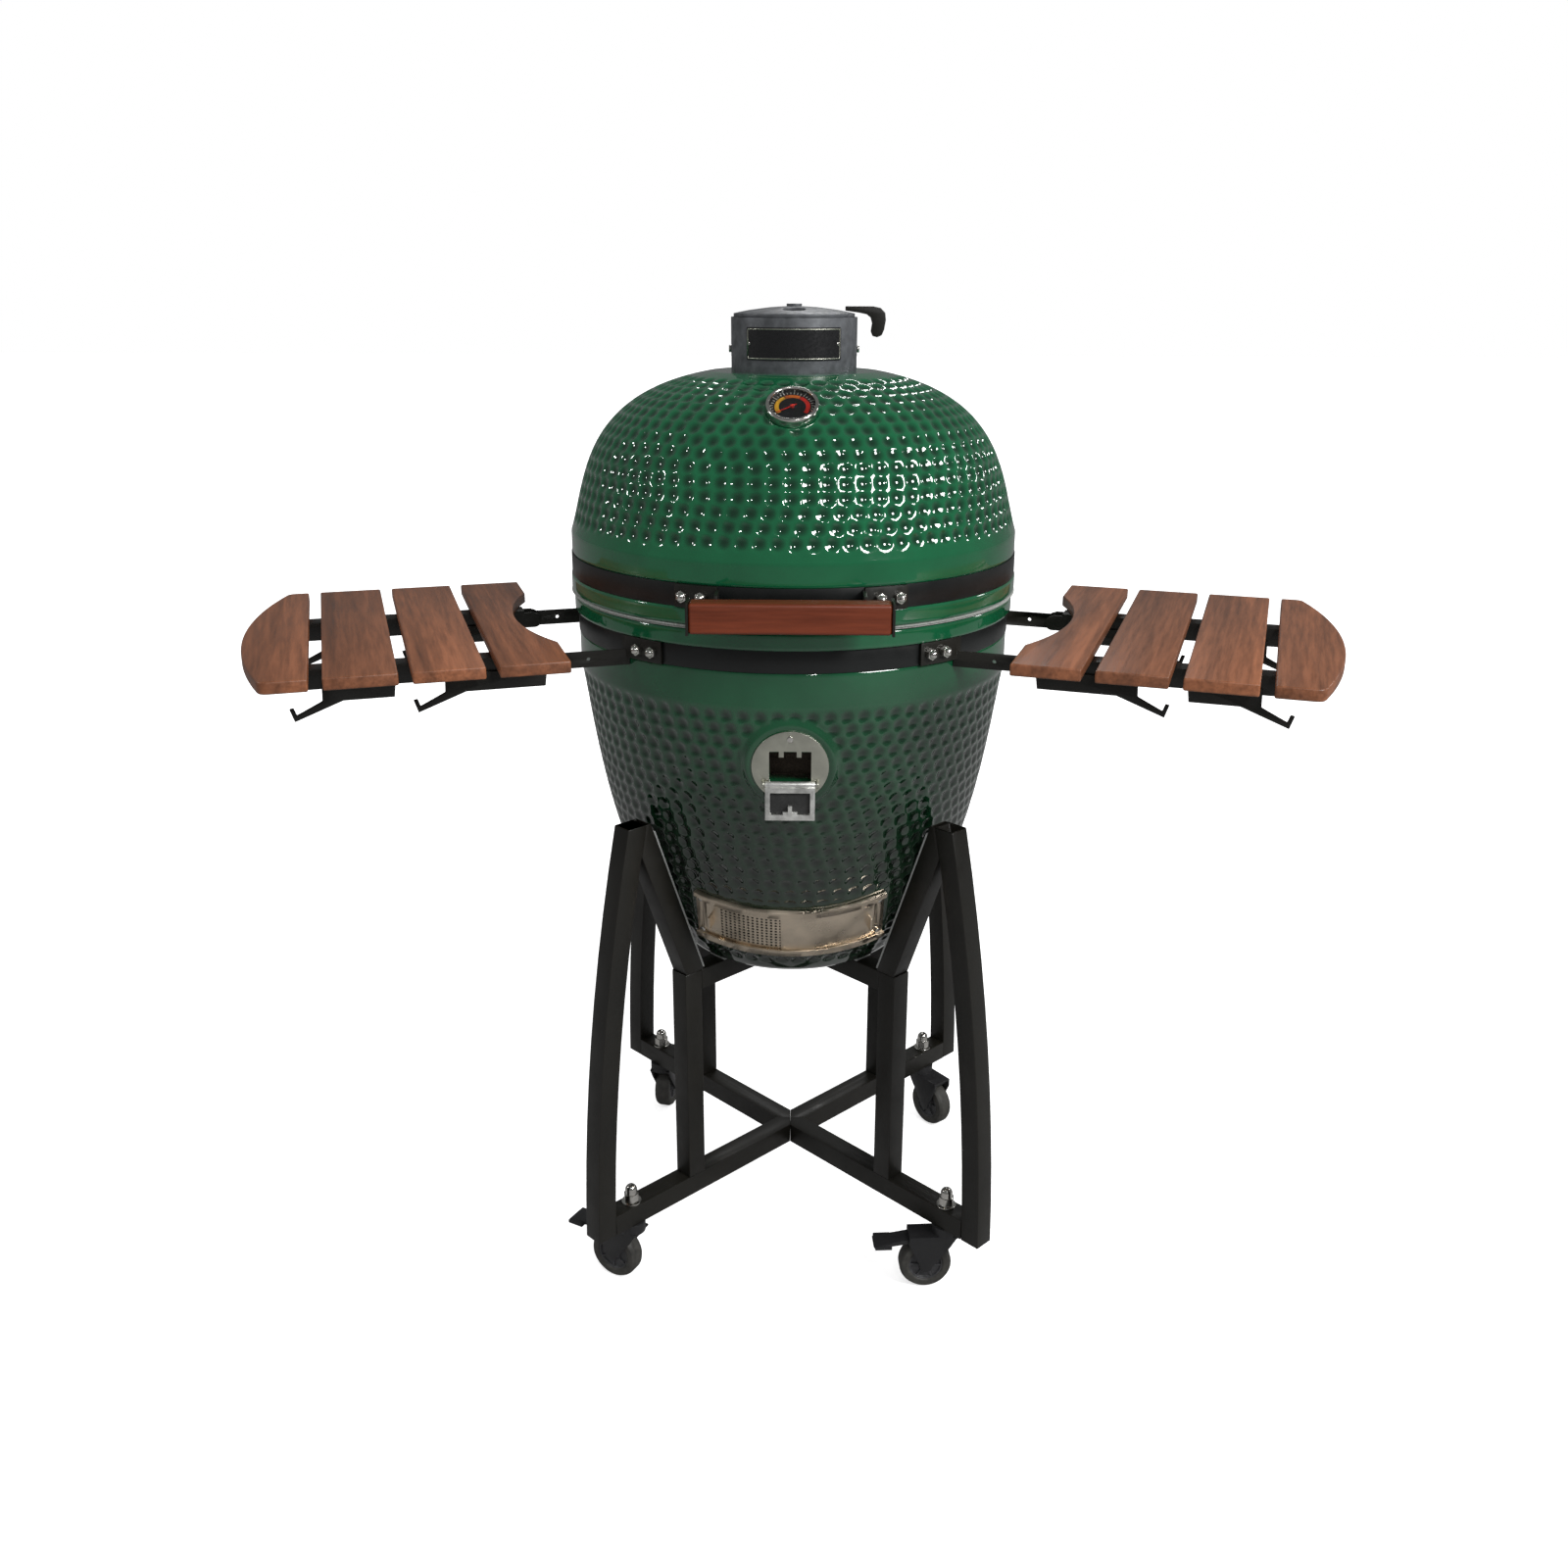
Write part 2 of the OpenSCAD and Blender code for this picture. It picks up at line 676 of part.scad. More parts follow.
spring_in = hinge_pin_r + 0.5;
module hinge_springs() {
    reach = hinge_half_w - 1.5 * ear_t - ear_gap - 3;
    color(steel) on_axis() for (side = [0, 1]) mirror([side, 0, 0])
        translate([3, hinge_y, hinge_z]) rotate([0, 90, 0]) difference() {
            cylinder(r = spring_in + 4.5, h = reach - 3);
            translate([0, 0, -cut]) cylinder(r = spring_in, h = reach);
        }
}

// ---------- vents ----------

module at_vent_screws() {
    s0 = rail_h + screw_head_r + 0.5;
    vent_place() for (side = [-1, 1], s = [s0, vent_len - s0])
        round_at(side * (vent_half - 2), vent_rc + vent_back_t, s) children();
}

module vent_frame() {
    color(steel) difference() {
        vent_place() union() {
            vent_piece(0, vent_len, 0, vent_back_t, -vent_half, vent_half);
            for (s = [0, vent_len - rail_h])
                vent_piece(s, s + rail_h, vent_back_t, vent_deep, -vent_half, vent_half);
            for (s = [rail_h - 1, vent_len - rail_h - 3])
                vent_piece(s, s + 4, door_n + door_t + move_gap, vent_deep, -slide_half - 1, slide_half + 1);
        }
        vent_place() vent_piece(vent_rim, vent_len - vent_rim, -5, vent_back_t + 1, -vent_win_half, vent_win_half);
        at_vent_screws() translate([0, 0, -10]) cylinder(r = 2.5, h = 20);
    }
}

module vent_screws() {
    color(steel) at_vent_screws() {
        cylinder(r = screw_head_r, h = 2.5);
        translate([0, 0, -8]) cylinder(r = 2.5, h = 8);
    }
}

hole_cols = 15;
hole_rows = 10;
hole_step = 1.5;             // degrees from column to column
hole_rise = 5.9;
hole_d = 3.6;
module vent_screen() {
    s0 = rail_h + move_gap;
    color(steel) vent_place() {
        difference() {
            vent_piece(s0, vent_len - s0, screen_n, screen_n + screen_t, -slide_half, -slide_half + screen_span);
            for (c = [0:hole_cols - 1], k = [0:hole_rows - 1])
                round_at(-(c + 1) * hole_step, vent_rc - 5, vent_rim + 1 + (k + 0.5) * hole_rise)
                    cylinder(r = hole_d / 2, h = 20, $fn = 16);
        }
        vent_tab(-slide_half + 2);
    }
}

// Small pull tab that stands out of the frame near the end of a slide
module vent_tab(angle) {
    vent_piece(vent_len / 2 - 12, vent_len / 2 + 12, screen_n, vent_deep + 6, angle - 0.3, angle + 0.3);
}

module vent_door() {
    s0 = rail_h + move_gap;
    color(steel) vent_place() {
        vent_piece(s0, vent_len - s0, door_n, door_n + door_t, slide_half - door_span, slide_half);
        vent_piece(vent_len / 2 - 12, vent_len / 2 + 12, door_n, vent_deep + 6, slide_half - 2.3, slide_half - 1.7);
    }
}

module port_plate() {
    color(steel) port_frame() {
        difference() {
            translate([0, 0, port_face - 2]) cylinder(r = port_r, h = 2);
            difference() {
                port_window(0, 10, -1);
                for (x = [-14, 8]) translate([x, port_win_h / 2 - 9, 0]) cube([6, 9, 10]);
            }
            translate([0, port_r - 10, 0]) cylinder(r = 2.5, h = 10);
        }
        for (side = [-1, 1]) translate([side * (flap_half_w + 3) - 1.5, 0, 0]) port_lug();
    }
}

module port_lug() {
    rotate([90, 0, 90]) linear_extrude(3) difference() {
        union() {
            translate(flap_local) circle(r = flap_pin_r + 2.5);
            translate([flap_local[0] - 4.5, port_face]) square([9, flap_local[1] - port_face]);
        }
        translate(flap_local) circle(r = flap_pin_r + run_gap);
    }
}

module port_screw() {
    color(steel) port_frame() translate([0, port_r - 10, port_face]) {
        cylinder(r = 4, h = 2);
        translate([0, 0, -8]) cylinder(r = 2.5, h = 8);
    }
}

// Cast flap: hangs open under its pin, with its tray and latch post facing out
module port_flap() {
    color(steel) on_axis() translate([0, flap_y, flap_z]) {
        difference() {
            translate([-flap_half_w, -flap_t / 2, -flap_h - 3]) cube([2 * flap_half_w, flap_t, flap_h]);
            translate([-flap_half_w + 6, -flap_t / 2 - cut, -flap_h + 4]) cube([2 * flap_half_w - 12, flap_t - 3 + cut, flap_h - 14]);
        }
        rotate([0, 90, 0]) translate([0, 0, -flap_half_w]) cylinder(r = 4, h = 2 * flap_half_w);
        rotate([0, 90, 0]) translate([0, 0, -flap_half_w - 4.5]) cylinder(r = flap_pin_r, h = 2 * flap_half_w + 9);
        translate([-2.5, -flap_t / 2 - 2, -flap_h + 4]) cube([5, flap_t - 1, 12]);
        translate([-9, -flap_t / 2, -flap_h + 3]) cube([18, flap_t - 3, 5]);
    }
}

// ---------- lid ----------

module lid_outline() {
    inner = reversed(curve(lid_guide(lid_wall), curve_steps));
    polygon(concat(
        [[body_r - lid_wall, lid_bot], [body_r + 2, lid_bot], [body_r + 2, upper_band_z],
         [upper_band_r, upper_band_z], [upper_band_r, upper_band_z + band_h],
         [body_r, upper_band_z + band_h]],
        lid_curve,
        [[cap_r + 4, crown_z], [neck_r, crown_z], [neck_r, crown_z + neck_h],
         [chimney_r, crown_z + neck_h], [chimney_r, crown_z - lid_wall]],
        inner));
}

module lid_shell() {
    color(green) difference() {
        on_axis() rotate_extrude() lid_outline();
        gauge_frame() cylinder(r = gauge_r + 0.5, h = 40);
        gauge_frame() translate([0, 0, -60]) cylinder(r = 4.5, h = 70);
    }
}

module lid_gasket() {
    color([0.55, 0.55, 0.53]) on_axis()
        arc_ring(body_r - lid_wall + 1, body_r + 3, split_z + move_gap, lid_bot);
}

bar_y = upper_band_r + band_t + handle_gap;
bar_z = upper_band_z - 14 + handle_h / 2;
arm_x = 85;                  // handle bracket arms
handle_nut_x = 126;
handle_foot_x = 138;
module handle_grip() {
    color([0.42, 0.16, 0.07]) on_axis() translate([-handle_len / 2, -bar_y - handle_d, bar_z - handle_h / 2])
        cube([handle_len, handle_d, handle_h]);
}

// One handle bracket: foot on the band, web going forward, seat behind the bar and its end plate
module handle_bracket() {
    r0 = upper_band_r + band_t;
    foot_in = asin((arm_x + 2) / r0);
    foot_out = asin(handle_foot_x / r0);
    arm_z0 = upper_band_z + 1;
    arm_z1 = upper_band_z + band_h - 3;
    arc_plate(r0, r0 + plate_t, upper_band_z, upper_band_z + band_h, foot_in, foot_out);
    difference() {
        translate([arm_x, -bar_y, arm_z0]) cube([plate_t, handle_gap + 25, arm_z1 - arm_z0]);
        translate([0, 0, arm_z0 - 20]) cylinder(r = r0, h = 60);
    }
    translate([arm_x, -bar_y, arm_z0]) cube([handle_len / 2 - arm_x, plate_t, bar_z + handle_h / 2 - 2 - arm_z0]);
    translate([handle_len / 2, -bar_y - handle_d - 1, bar_z - handle_h / 2 - 1])
        cube([3, handle_d + 1 + plate_t, handle_h + 2]);
}

module handle_brackets() {
    color(black) difference() {
        on_axis() for (side = [0, 1]) mirror([side, 0, 0]) handle_bracket();
        at_handle_nuts() bolt_hole();
    }
}

module gauge_case() {
    color(steel) gauge_frame() {
        difference() {
            cylinder(r = gauge_r, h = gauge_deep);
            translate([0, 0, 4]) cylinder(r = gauge_r - 3, h = gauge_deep);
        }
        translate([0, 0, -70]) cylinder(r = 3, h = 70);
    }
}

module gauge_dial() {
    color("black") gauge_frame() translate([0, 0, 4]) cylinder(r = gauge_r - 3, h = 1);
}

module gauge_needle() {
    color("red") gauge_frame() translate([0, 0, 5]) {
        cylinder(r = 2.5, h = 1.5);
        rotate([0, 0, 220]) translate([-6, -0.8, 0.5]) cube([gauge_r - 6, 1.6, 0.8]);
    }
}

module gauge_glass() {
    color([0.8, 0.9, 0.9, 0.3]) gauge_frame() translate([0, 0, gauge_deep - 3.5]) cylinder(r = gauge_r - 3, h = 2);
}

// ---------- cap ----------

module air_holes(z0, z1, turn) {
    for (a = [45:90:315]) rotate([0, 0, a + turn]) translate([air_hole_at, 0, z0])
        cylinder(r = air_hole_r, h = z1 - z0);
}

module cap_collar() {
    color([0.13, 0.13, 0.14]) on_axis() {
        difference() {
            union() {
                arc_ring(cap_r - cap_wall, cap_r, crown_z, cap_top);
                translate([0, 0, cap_web_z]) cylinder(r = cap_r - cap_wall, h = 4);
            }
            air_holes(cap_web_z - cut, cap_web_z + 5, 0);
            for (side = [-1, 1]) round_at(side * 90, cap_r - cap_wall - cut, crown_z + 27)
                cylinder(r = 2.5, h = cap_wall + 2 * cut);
        }
        translate([0, 0, cap_web_z]) cylinder(r = rivet_r, h = cap_top + disc_rise + disc_t + 3 - cap_web_z);
        translate([0, 0, cap_top + disc_rise + disc_t + move_gap]) cylinder(r = rivet_r + 5, h = 3);
    }
}

// Plain plate, bent round the front of the collar
module badge_plate() {
    mid = crown_z + cap_h / 2 + 2;
    color("black") on_axis() arc_plate(cap_r, cap_r + 1.5, mid - 20, mid + 20, -46, 46);
}

module cap_screws() {
    color(steel) on_axis() for (side = [-1, 1]) round_at(side * 90, cap_r, crown_z + 27) {
        cylinder(r = 4.5, h = 3);
        translate([0, 0, -cap_wall]) cylinder(r = 2.5, h = cap_wall);
    }
}

// Slightly domed disc that turns on the rivet and covers the air holes
module damper_disc() {
    z0 = cap_top + move_gap;
    bow = (disc_r * disc_r + disc_rise * disc_rise) / (2 * disc_rise);
    steps = 8;
    top = [for (i = [0:steps]) let (r = disc_r * i / steps)
        [r, z0 + disc_t + sqrt(bow * bow - r * r) - bow + disc_rise]];
    under = [for (p = top) [p[0], p[1] - disc_t]];
    color([0.1, 0.1, 0.11]) on_axis() difference() {
        rotate_extrude() polygon(concat(under, reversed(top)));
        air_holes(z0 - cut, z0 + 40, 45);
        translate([0, 0, z0 - cut]) cylinder(r = rivet_r + run_gap, h = 40);
    }
}

// Lever: a flat plate riveted to the edge of the disc, ending in a drooping thumb piece
module damper_lever() {
    z0 = cap_top + move_gap + disc_t;
    color(black) on_axis() upright(4) translate([cap_r, z0])
        polygon([[-16, 9], [20, 9], [30, 7], [36, 1], [37, -8], [35, -20], [32, -27], [26, -29.5],
            [20, -28], [17.5, -22], [19, -12], [17, -5], [12, -1], [2, 1], [-16, 3.5]]);
}

// ---------- side shelves ----------

// Outline of the outer slat: bowed end with round corners
module end_slat_outline() {
    x0 = shelf_in + 3 * slat_pitch;
    offset(r = shelf_corner_r, $fn = 32) offset(delta = -shelf_corner_r) intersection() {
        translate([x0 - shelf_corner_r, slat_front]) square([slat_w * 2, slat_len]);
        translate([shelf_end - shelf_end_r, shelf_end_y]) circle(r = shelf_end_r, $fn = 360);
    }
}

module shelf_slats() {
    color([0.36, 0.17, 0.09]) translate([0, 0, shelf_top - slat_t]) {
        difference() {
            translate([shelf_in, slat_front, 0]) cube([slat_w, slat_len, slat_t]);
            translate([0, 0, -cut]) cylinder(r = shelf_bay_r, h = slat_t + 2 * cut, $fn = 180);
        }
        for (i = [1:2]) translate([shelf_in + i * slat_pitch, slat_front, 0]) cube([slat_w, slat_len, slat_t]);
        intersection() {
            linear_extrude(slat_t) end_slat_outline();
            translate([shelf_in + 3 * slat_pitch, slat_front - cut, -cut])
                cube([slat_w * 2, slat_len + 2 * cut, slat_t + 2 * cut]);
        }
    }
}

// Channel arm under the slats; its side walls run on to the pivot pin
module shelf_arm(row) {
    out = shelf_end - 20;
    difference() {
        union() {
            translate([shelf_in + 8, row - arm_w / 2, web_z]) cube([out - shelf_in - 8, arm_w, arm_wall]);
            for (y = [row - arm_w / 2, row + arm_w / 2 - arm_wall]) {
                translate([pivot_x, y, arm_bot]) cube([out - pivot_x, arm_wall, web_z - arm_bot]);
                translate([pivot_x, y + arm_wall, pivot_z]) rotate([90, 0, 0]) cylinder(r = pivot_eye_r, h = arm_wall);
            }
        }
    }
    translate([pivot_x, row + arm_w / 2, pivot_z]) rotate([90, 0, 0]) cylinder(r = pivot_r, h = arm_w);
}

module shelf_arms() {
    color(black) for (row = arm_rows) shelf_arm(row);
}

// One hook plate with its two bends: start, length along the arm and reach of the tip
module hook_plate(x0, x1, tip) {
    low = arm_bot - hook_drop;
    polygon([[x0, arm_bot + 8], [x0 + 3, low], [x1, low], [tip, low - hook_tip_drop], [tip + 5, low - 6],
        [tip, low - 5], [tip - 3, low - hook_tip_drop + 8], [tip - 33, low + 1], [tip - 34, arm_bot + 8]]);
}

module shelf_hooks() {
    color(black) for (row = arm_rows)
        translate([shelf_in, row - arm_w / 2, 0]) rotate([90, 0, 0]) linear_extrude(hook_t) {
            hook_plate(15, 114, 172);
            hook_plate(195, 257, 314);
        }
}

module shelf_left_slats() { shelf_frame(-1) shelf_slats(); }
module shelf_left_arms() { shelf_frame(-1) shelf_arms(); }
module shelf_left_hooks() { shelf_frame(-1) shelf_hooks(); }
module shelf_right_slats() { shelf_frame(1) shelf_slats(); }
module shelf_right_arms() { shelf_frame(1) shelf_arms(); }
module shelf_right_hooks() { shelf_frame(1) shelf_hooks(); }

// ---------- casters ----------

// Fork, drawn with the wheel trailing along +X; its axle is riveted into the cheeks
module fork_cheek() {
    polygon([[-16, fork_crown_z + 3], [pedal_x + 9, fork_crown_z + 3], [pedal_x + 9, pedal_z - 4],
        [trail + 8, wheel_r], [trail - 8, wheel_r - 2], [-6, pedal_z - 8]]);
    translate([trail, wheel_r]) circle(r = 9);
}

module caster_fork(i) {
    inner = wheel_w / 2 + fork_gap;
    color([0.07, 0.07, 0.075]) caster_frame(i) {
        difference() {
            union() {
                for (y = [-inner, inner + fork_t]) translate([0, y, 0]) rotate([90, 0, 0])
                    linear_extrude(fork_t) fork_cheek();
                translate([-16, -inner - fork_t, fork_crown_z]) cube([pedal_x + 25, 2 * inner + 2 * fork_t, fork_t]);
                translate([0, 0, fork_crown_z]) cylinder(r = 19, h = caster_h - move_gap - fork_crown_z);
            }
            translate([0, 0, fork_crown_z - cut]) cylinder(r = stem_r + run_gap, h = 40);
        }
        translate([trail, inner + fork_t, wheel_r]) rotate([90, 0, 0]) cylinder(r = axle_r, h = 2 * inner + 2 * fork_t);
        translate([pedal_x, inner + fork_t, pedal_z]) rotate([90, 0, 0])
            cylinder(r = pedal_pin_r, h = 2 * inner + 2 * fork_t);
    }
}

module caster_wheel(i) {
    h = wheel_w / 2;
    color([0.09, 0.09, 0.1]) caster_frame(i) translate([trail, 0, wheel_r]) rotate([90, 0, 0])
        rotate_extrude($fn = 96) polygon([[axle_r + run_gap, -h - 1], [12, -h - 1], [14, -h + 3], [25, -h + 3],
            [27, -h], [wheel_r - 4, -h], [wheel_r - 1, -h + 3], [wheel_r, -h + 6], [wheel_r, h - 6],
            [wheel_r - 1, h - 3], [wheel_r - 4, h], [27, h], [25, h - 3], [14, h - 3], [12, h + 1],
            [axle_r + run_gap, h + 1]]);
}

module caster_pedal(i) {
    half = wheel_w / 2;
    color(black) caster_frame(i) difference() {
        union() {
            translate([0, half, 0]) rotate([90, 0, 0]) linear_extrude(2 * half) union() {
                translate([pedal_x, pedal_z]) circle(r = pedal_pin_r + 2);
                polygon([[pedal_x, pedal_z - 2], [pedal_x + 40, pedal_z - 8], [pedal_x + 58, pedal_z - 10],
                    [pedal_x + 60, pedal_z - 6], [pedal_x + 40, pedal_z - 2], [pedal_x, pedal_z + 5]]);
            }
            translate([pedal_x + 34, -half - 5, pedal_z - 9]) cube([24, 2 * half + 10, 5]);
        }
        translate([pedal_x, half + cut, pedal_z]) rotate([90, 0, 0]) cylinder(r = pedal_pin_r + run_gap, h = 2 * half + 2 * cut);
    }
}

module caster_fork_fl() { caster_fork(0); }
module caster_wheel_fl() { caster_wheel(0); }
module caster_pedal_fl() { caster_pedal(0); }
module caster_fork_fr() { caster_fork(1); }
module caster_wheel_fr() { caster_wheel(1); }
module caster_pedal_fr() { caster_pedal(1); }
module caster_fork_rl() { caster_fork(2); }
module caster_wheel_rl() { caster_wheel(2); }
module caster_pedal_rl() { caster_pedal(2); }
module caster_fork_rr() { caster_fork(3); }
module caster_wheel_rr() { caster_wheel(3); }

stand_cross_tubes();
stand_posts();
stand_outer_legs();
stand_saddle_tubes();
stand_upper_cross();
felt_strips();
caster_stems();
stem_nuts();
base_shell();
base_gasket();
fire_bowl();
fire_ring();
charcoal_grate();
cooking_grid();
lower_band();
shelf_brackets();
band_nuts();
hinge_base();
hinge_pin();
hinge_springs();
vent_frame();
vent_screws();
port_plate();
port_screw();
lid_shell();
lid_gasket();
upper_band();
hinge_arm();
lid_nuts();
handle_brackets();
handle_grip();
gauge_case();
gauge_dial();
gauge_needle();
gauge_glass();
cap_collar();
badge_plate();
cap_screws();
damper_disc();
damper_lever();
vent_screen();
vent_door();
port_flap();
shelf_left_slats();
shelf_left_arms();
shelf_left_hooks();
shelf_right_slats();
shelf_right_arms();
shelf_right_hooks();
caster_fork_fl();
caster_wheel_fl();
caster_pedal_fl();
caster_fork_fr();
caster_wheel_fr();
caster_pedal_fr();
caster_fork_rl();
caster_wheel_rl();
caster_pedal_rl();
caster_fork_rr();
caster_wheel_rr();
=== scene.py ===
"""Visual model of a ceramic charcoal grill on a wheeled stand, built round its CAD frame."""

import json
import logging
import math
from dataclasses import dataclass, field
from enum import Enum
from typing import Callable, Iterable, Optional, Sequence

import bmesh
import bpy
import numpy as np
from mathutils import Matrix, Vector


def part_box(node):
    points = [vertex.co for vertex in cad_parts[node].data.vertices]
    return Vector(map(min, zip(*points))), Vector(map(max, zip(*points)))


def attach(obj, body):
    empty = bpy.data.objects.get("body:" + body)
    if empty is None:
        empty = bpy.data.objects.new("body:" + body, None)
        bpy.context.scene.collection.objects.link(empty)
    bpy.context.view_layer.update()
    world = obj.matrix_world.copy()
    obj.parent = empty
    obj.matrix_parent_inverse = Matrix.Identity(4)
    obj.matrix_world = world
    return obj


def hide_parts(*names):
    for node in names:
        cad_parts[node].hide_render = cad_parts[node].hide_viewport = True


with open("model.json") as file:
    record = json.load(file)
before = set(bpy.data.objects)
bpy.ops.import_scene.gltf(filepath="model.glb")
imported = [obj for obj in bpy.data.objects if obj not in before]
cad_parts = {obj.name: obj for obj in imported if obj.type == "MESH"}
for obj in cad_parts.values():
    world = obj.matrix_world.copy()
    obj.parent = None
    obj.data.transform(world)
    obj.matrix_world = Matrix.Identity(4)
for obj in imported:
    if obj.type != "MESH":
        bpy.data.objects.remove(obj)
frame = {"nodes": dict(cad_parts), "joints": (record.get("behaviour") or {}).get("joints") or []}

logging.basicConfig(level=logging.INFO, format="%(levelname)s %(message)s")
log = logging.getLogger("grill")

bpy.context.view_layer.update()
TURN = 2 * math.pi

Point = tuple[float, float]
Colour = tuple[float, float, float]


def middle(node: str) -> Vector:
    """The middle of a CAD node's box."""
    low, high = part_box(node)
    return (Vector(low) + Vector(high)) / 2


AXIS_Y = middle("base_gasket").y
SPLIT_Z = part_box("base_gasket")[1][2]
BODY_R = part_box("base_gasket")[1][0] - 0.0015
MM = 0.001
GAUGE_LEAN = math.radians(35)


# ---------- node graphs and finishes ----------


class Along(Enum):
    """The direction that brushing or wood grain runs in."""

    X = (0.06, 1.0, 1.0)
    Y = (1.0, 0.06, 1.0)
    ROUND = (0.03, 0.03, 1.0)


class Graph:
    """One material's node graph, with short calls for the nodes that the finishes use."""

    def __init__(self, name: str) -> None:
        """Makes the material and finds its shader."""
        self.material = bpy.data.materials.new(name)
        self.material.use_nodes = True
        self.tree = self.material.node_tree
        self.shader = self.tree.nodes["Principled BSDF"]
        self.place = self.node("ShaderNodeTexCoord").outputs["Object"]

    def node(self, kind: str, **settings: object) -> bpy.types.Node:
        """Adds a node and sets its properties."""
        made = self.tree.nodes.new(kind)
        for key, value in settings.items():
            setattr(made, key, value)
        return made

    def link(self, start: bpy.types.NodeSocket, end: bpy.types.NodeSocket) -> None:
        """Joins two sockets."""
        self.tree.links.new(start, end)

    def stretched(self, scale: Sequence[float], turn: float = 0.0) -> bpy.types.NodeSocket:
        """Object coordinates, turned about Z and then scaled.

        Args:
            scale: Factor for each axis.
            turn: Angle about Z in radians.

        Returns:
            The vector output.
        """
        turned = self.node("ShaderNodeMapping")
        turned.inputs["Rotation"].default_value = (0, 0, turn)
        self.link(self.place, turned.inputs["Vector"])
        scaled = self.node("ShaderNodeMapping")
        scaled.inputs["Scale"].default_value = scale
        self.link(turned.outputs[0], scaled.inputs["Vector"])
        return scaled.outputs[0]

    def noise(
        self,
        scale: float,
        detail: float = 3.0,
        rough: float = 0.55,
        vector: Optional[bpy.types.NodeSocket] = None,
    ) -> bpy.types.NodeSocket:
        """A noise value over the surface.

        Args:
            scale: Noise scale in cycles per metre, roughly.
            detail: Octaves.
            rough: Weight of each further octave.
            vector: Coordinates, or none for object coordinates.

        Returns:
            The noise value's output.
        """
        made = self.node("ShaderNodeTexNoise")
        made.inputs["Scale"].default_value = scale
        made.inputs["Detail"].default_value = detail
        made.inputs["Roughness"].default_value = rough
        self.link(vector or self.place, made.inputs["Vector"])
        return made.outputs[0]

    def ramp(self, value: bpy.types.NodeSocket, *stops: tuple[float, Colour]) -> bpy.types.NodeSocket:
        """Turns a value into a colour through the given stops."""
        made = self.node("ShaderNodeValToRGB")
        while len(made.color_ramp.elements) < len(stops):
            made.color_ramp.elements.new(0.5)
        for element, (at, colour) in zip(made.color_ramp.elements, stops):
            element.position = at
            element.color = (*colour, 1.0)
        self.link(value, made.inputs[0])
        return made.outputs[0]

    def mapped(self, value: bpy.types.NodeSocket, low: float, high: float) -> bpy.types.NodeSocket:
        """Spreads the middle of a noise value over a range."""
        made = self.node("ShaderNodeMapRange")
        made.inputs["From Min"].default_value = 0.3
        made.inputs["From Max"].default_value = 0.7
        made.inputs["To Min"].default_value = low
        made.inputs["To Max"].default_value = high
        self.link(value, made.inputs["Value"])
        return made.outputs[0]

    def mixed(
        self, share: bpy.types.NodeSocket, a: bpy.types.NodeSocket, b: bpy.types.NodeSocket, how: str = "MIX"
    ) -> bpy.types.NodeSocket:
        """Blends two colours by a share."""
        made = self.node("ShaderNodeMix", data_type="RGBA", blend_type=how)
        self.link(share, made.inputs[0])
        self.link(a, made.inputs[6])
        self.link(b, made.inputs[7])
        return made.outputs[2]

    def height(self, part: str) -> bpy.types.NodeSocket:
        """One of the object coordinates, X, Y or Z."""
        made = self.node("ShaderNodeSeparateXYZ")
        self.link(self.place, made.inputs[0])
        return made.outputs[part]

    def bump(self, value: bpy.types.NodeSocket, strength: float, distance: float) -> None:
        """Adds a bump on top of the ones already there."""
        made = self.node("ShaderNodeBump")
        made.inputs["Strength"].default_value = strength
        made.inputs["Distance"].default_value = distance
        self.link(value, made.inputs["Height"])
        before = self.shader.inputs["Normal"].links
        if before:
            self.link(before[0].from_socket, made.inputs["Normal"])
        self.link(made.outputs[0], self.shader.inputs["Normal"])

    def colour(self, value: bpy.types.NodeSocket) -> None:
        """Drives the base colour."""
        self.link(value, self.shader.inputs["Base Color"])

    def rough(self, value: bpy.types.NodeSocket) -> None:
        """Drives the roughness."""
        self.link(value, self.shader.inputs["Roughness"])

    def set(self, **values: object) -> None:
        """Sets uniform values on the shader; underscores in names stand for spaces."""
        for key, value in values.items():
            self.shader.inputs[key.replace("_", " ")].default_value = value


def shade(colour: Colour, factor: float) -> Colour:
    """A colour made lighter or darker."""
    return tuple(min(1.0, part * factor) for part in colour)


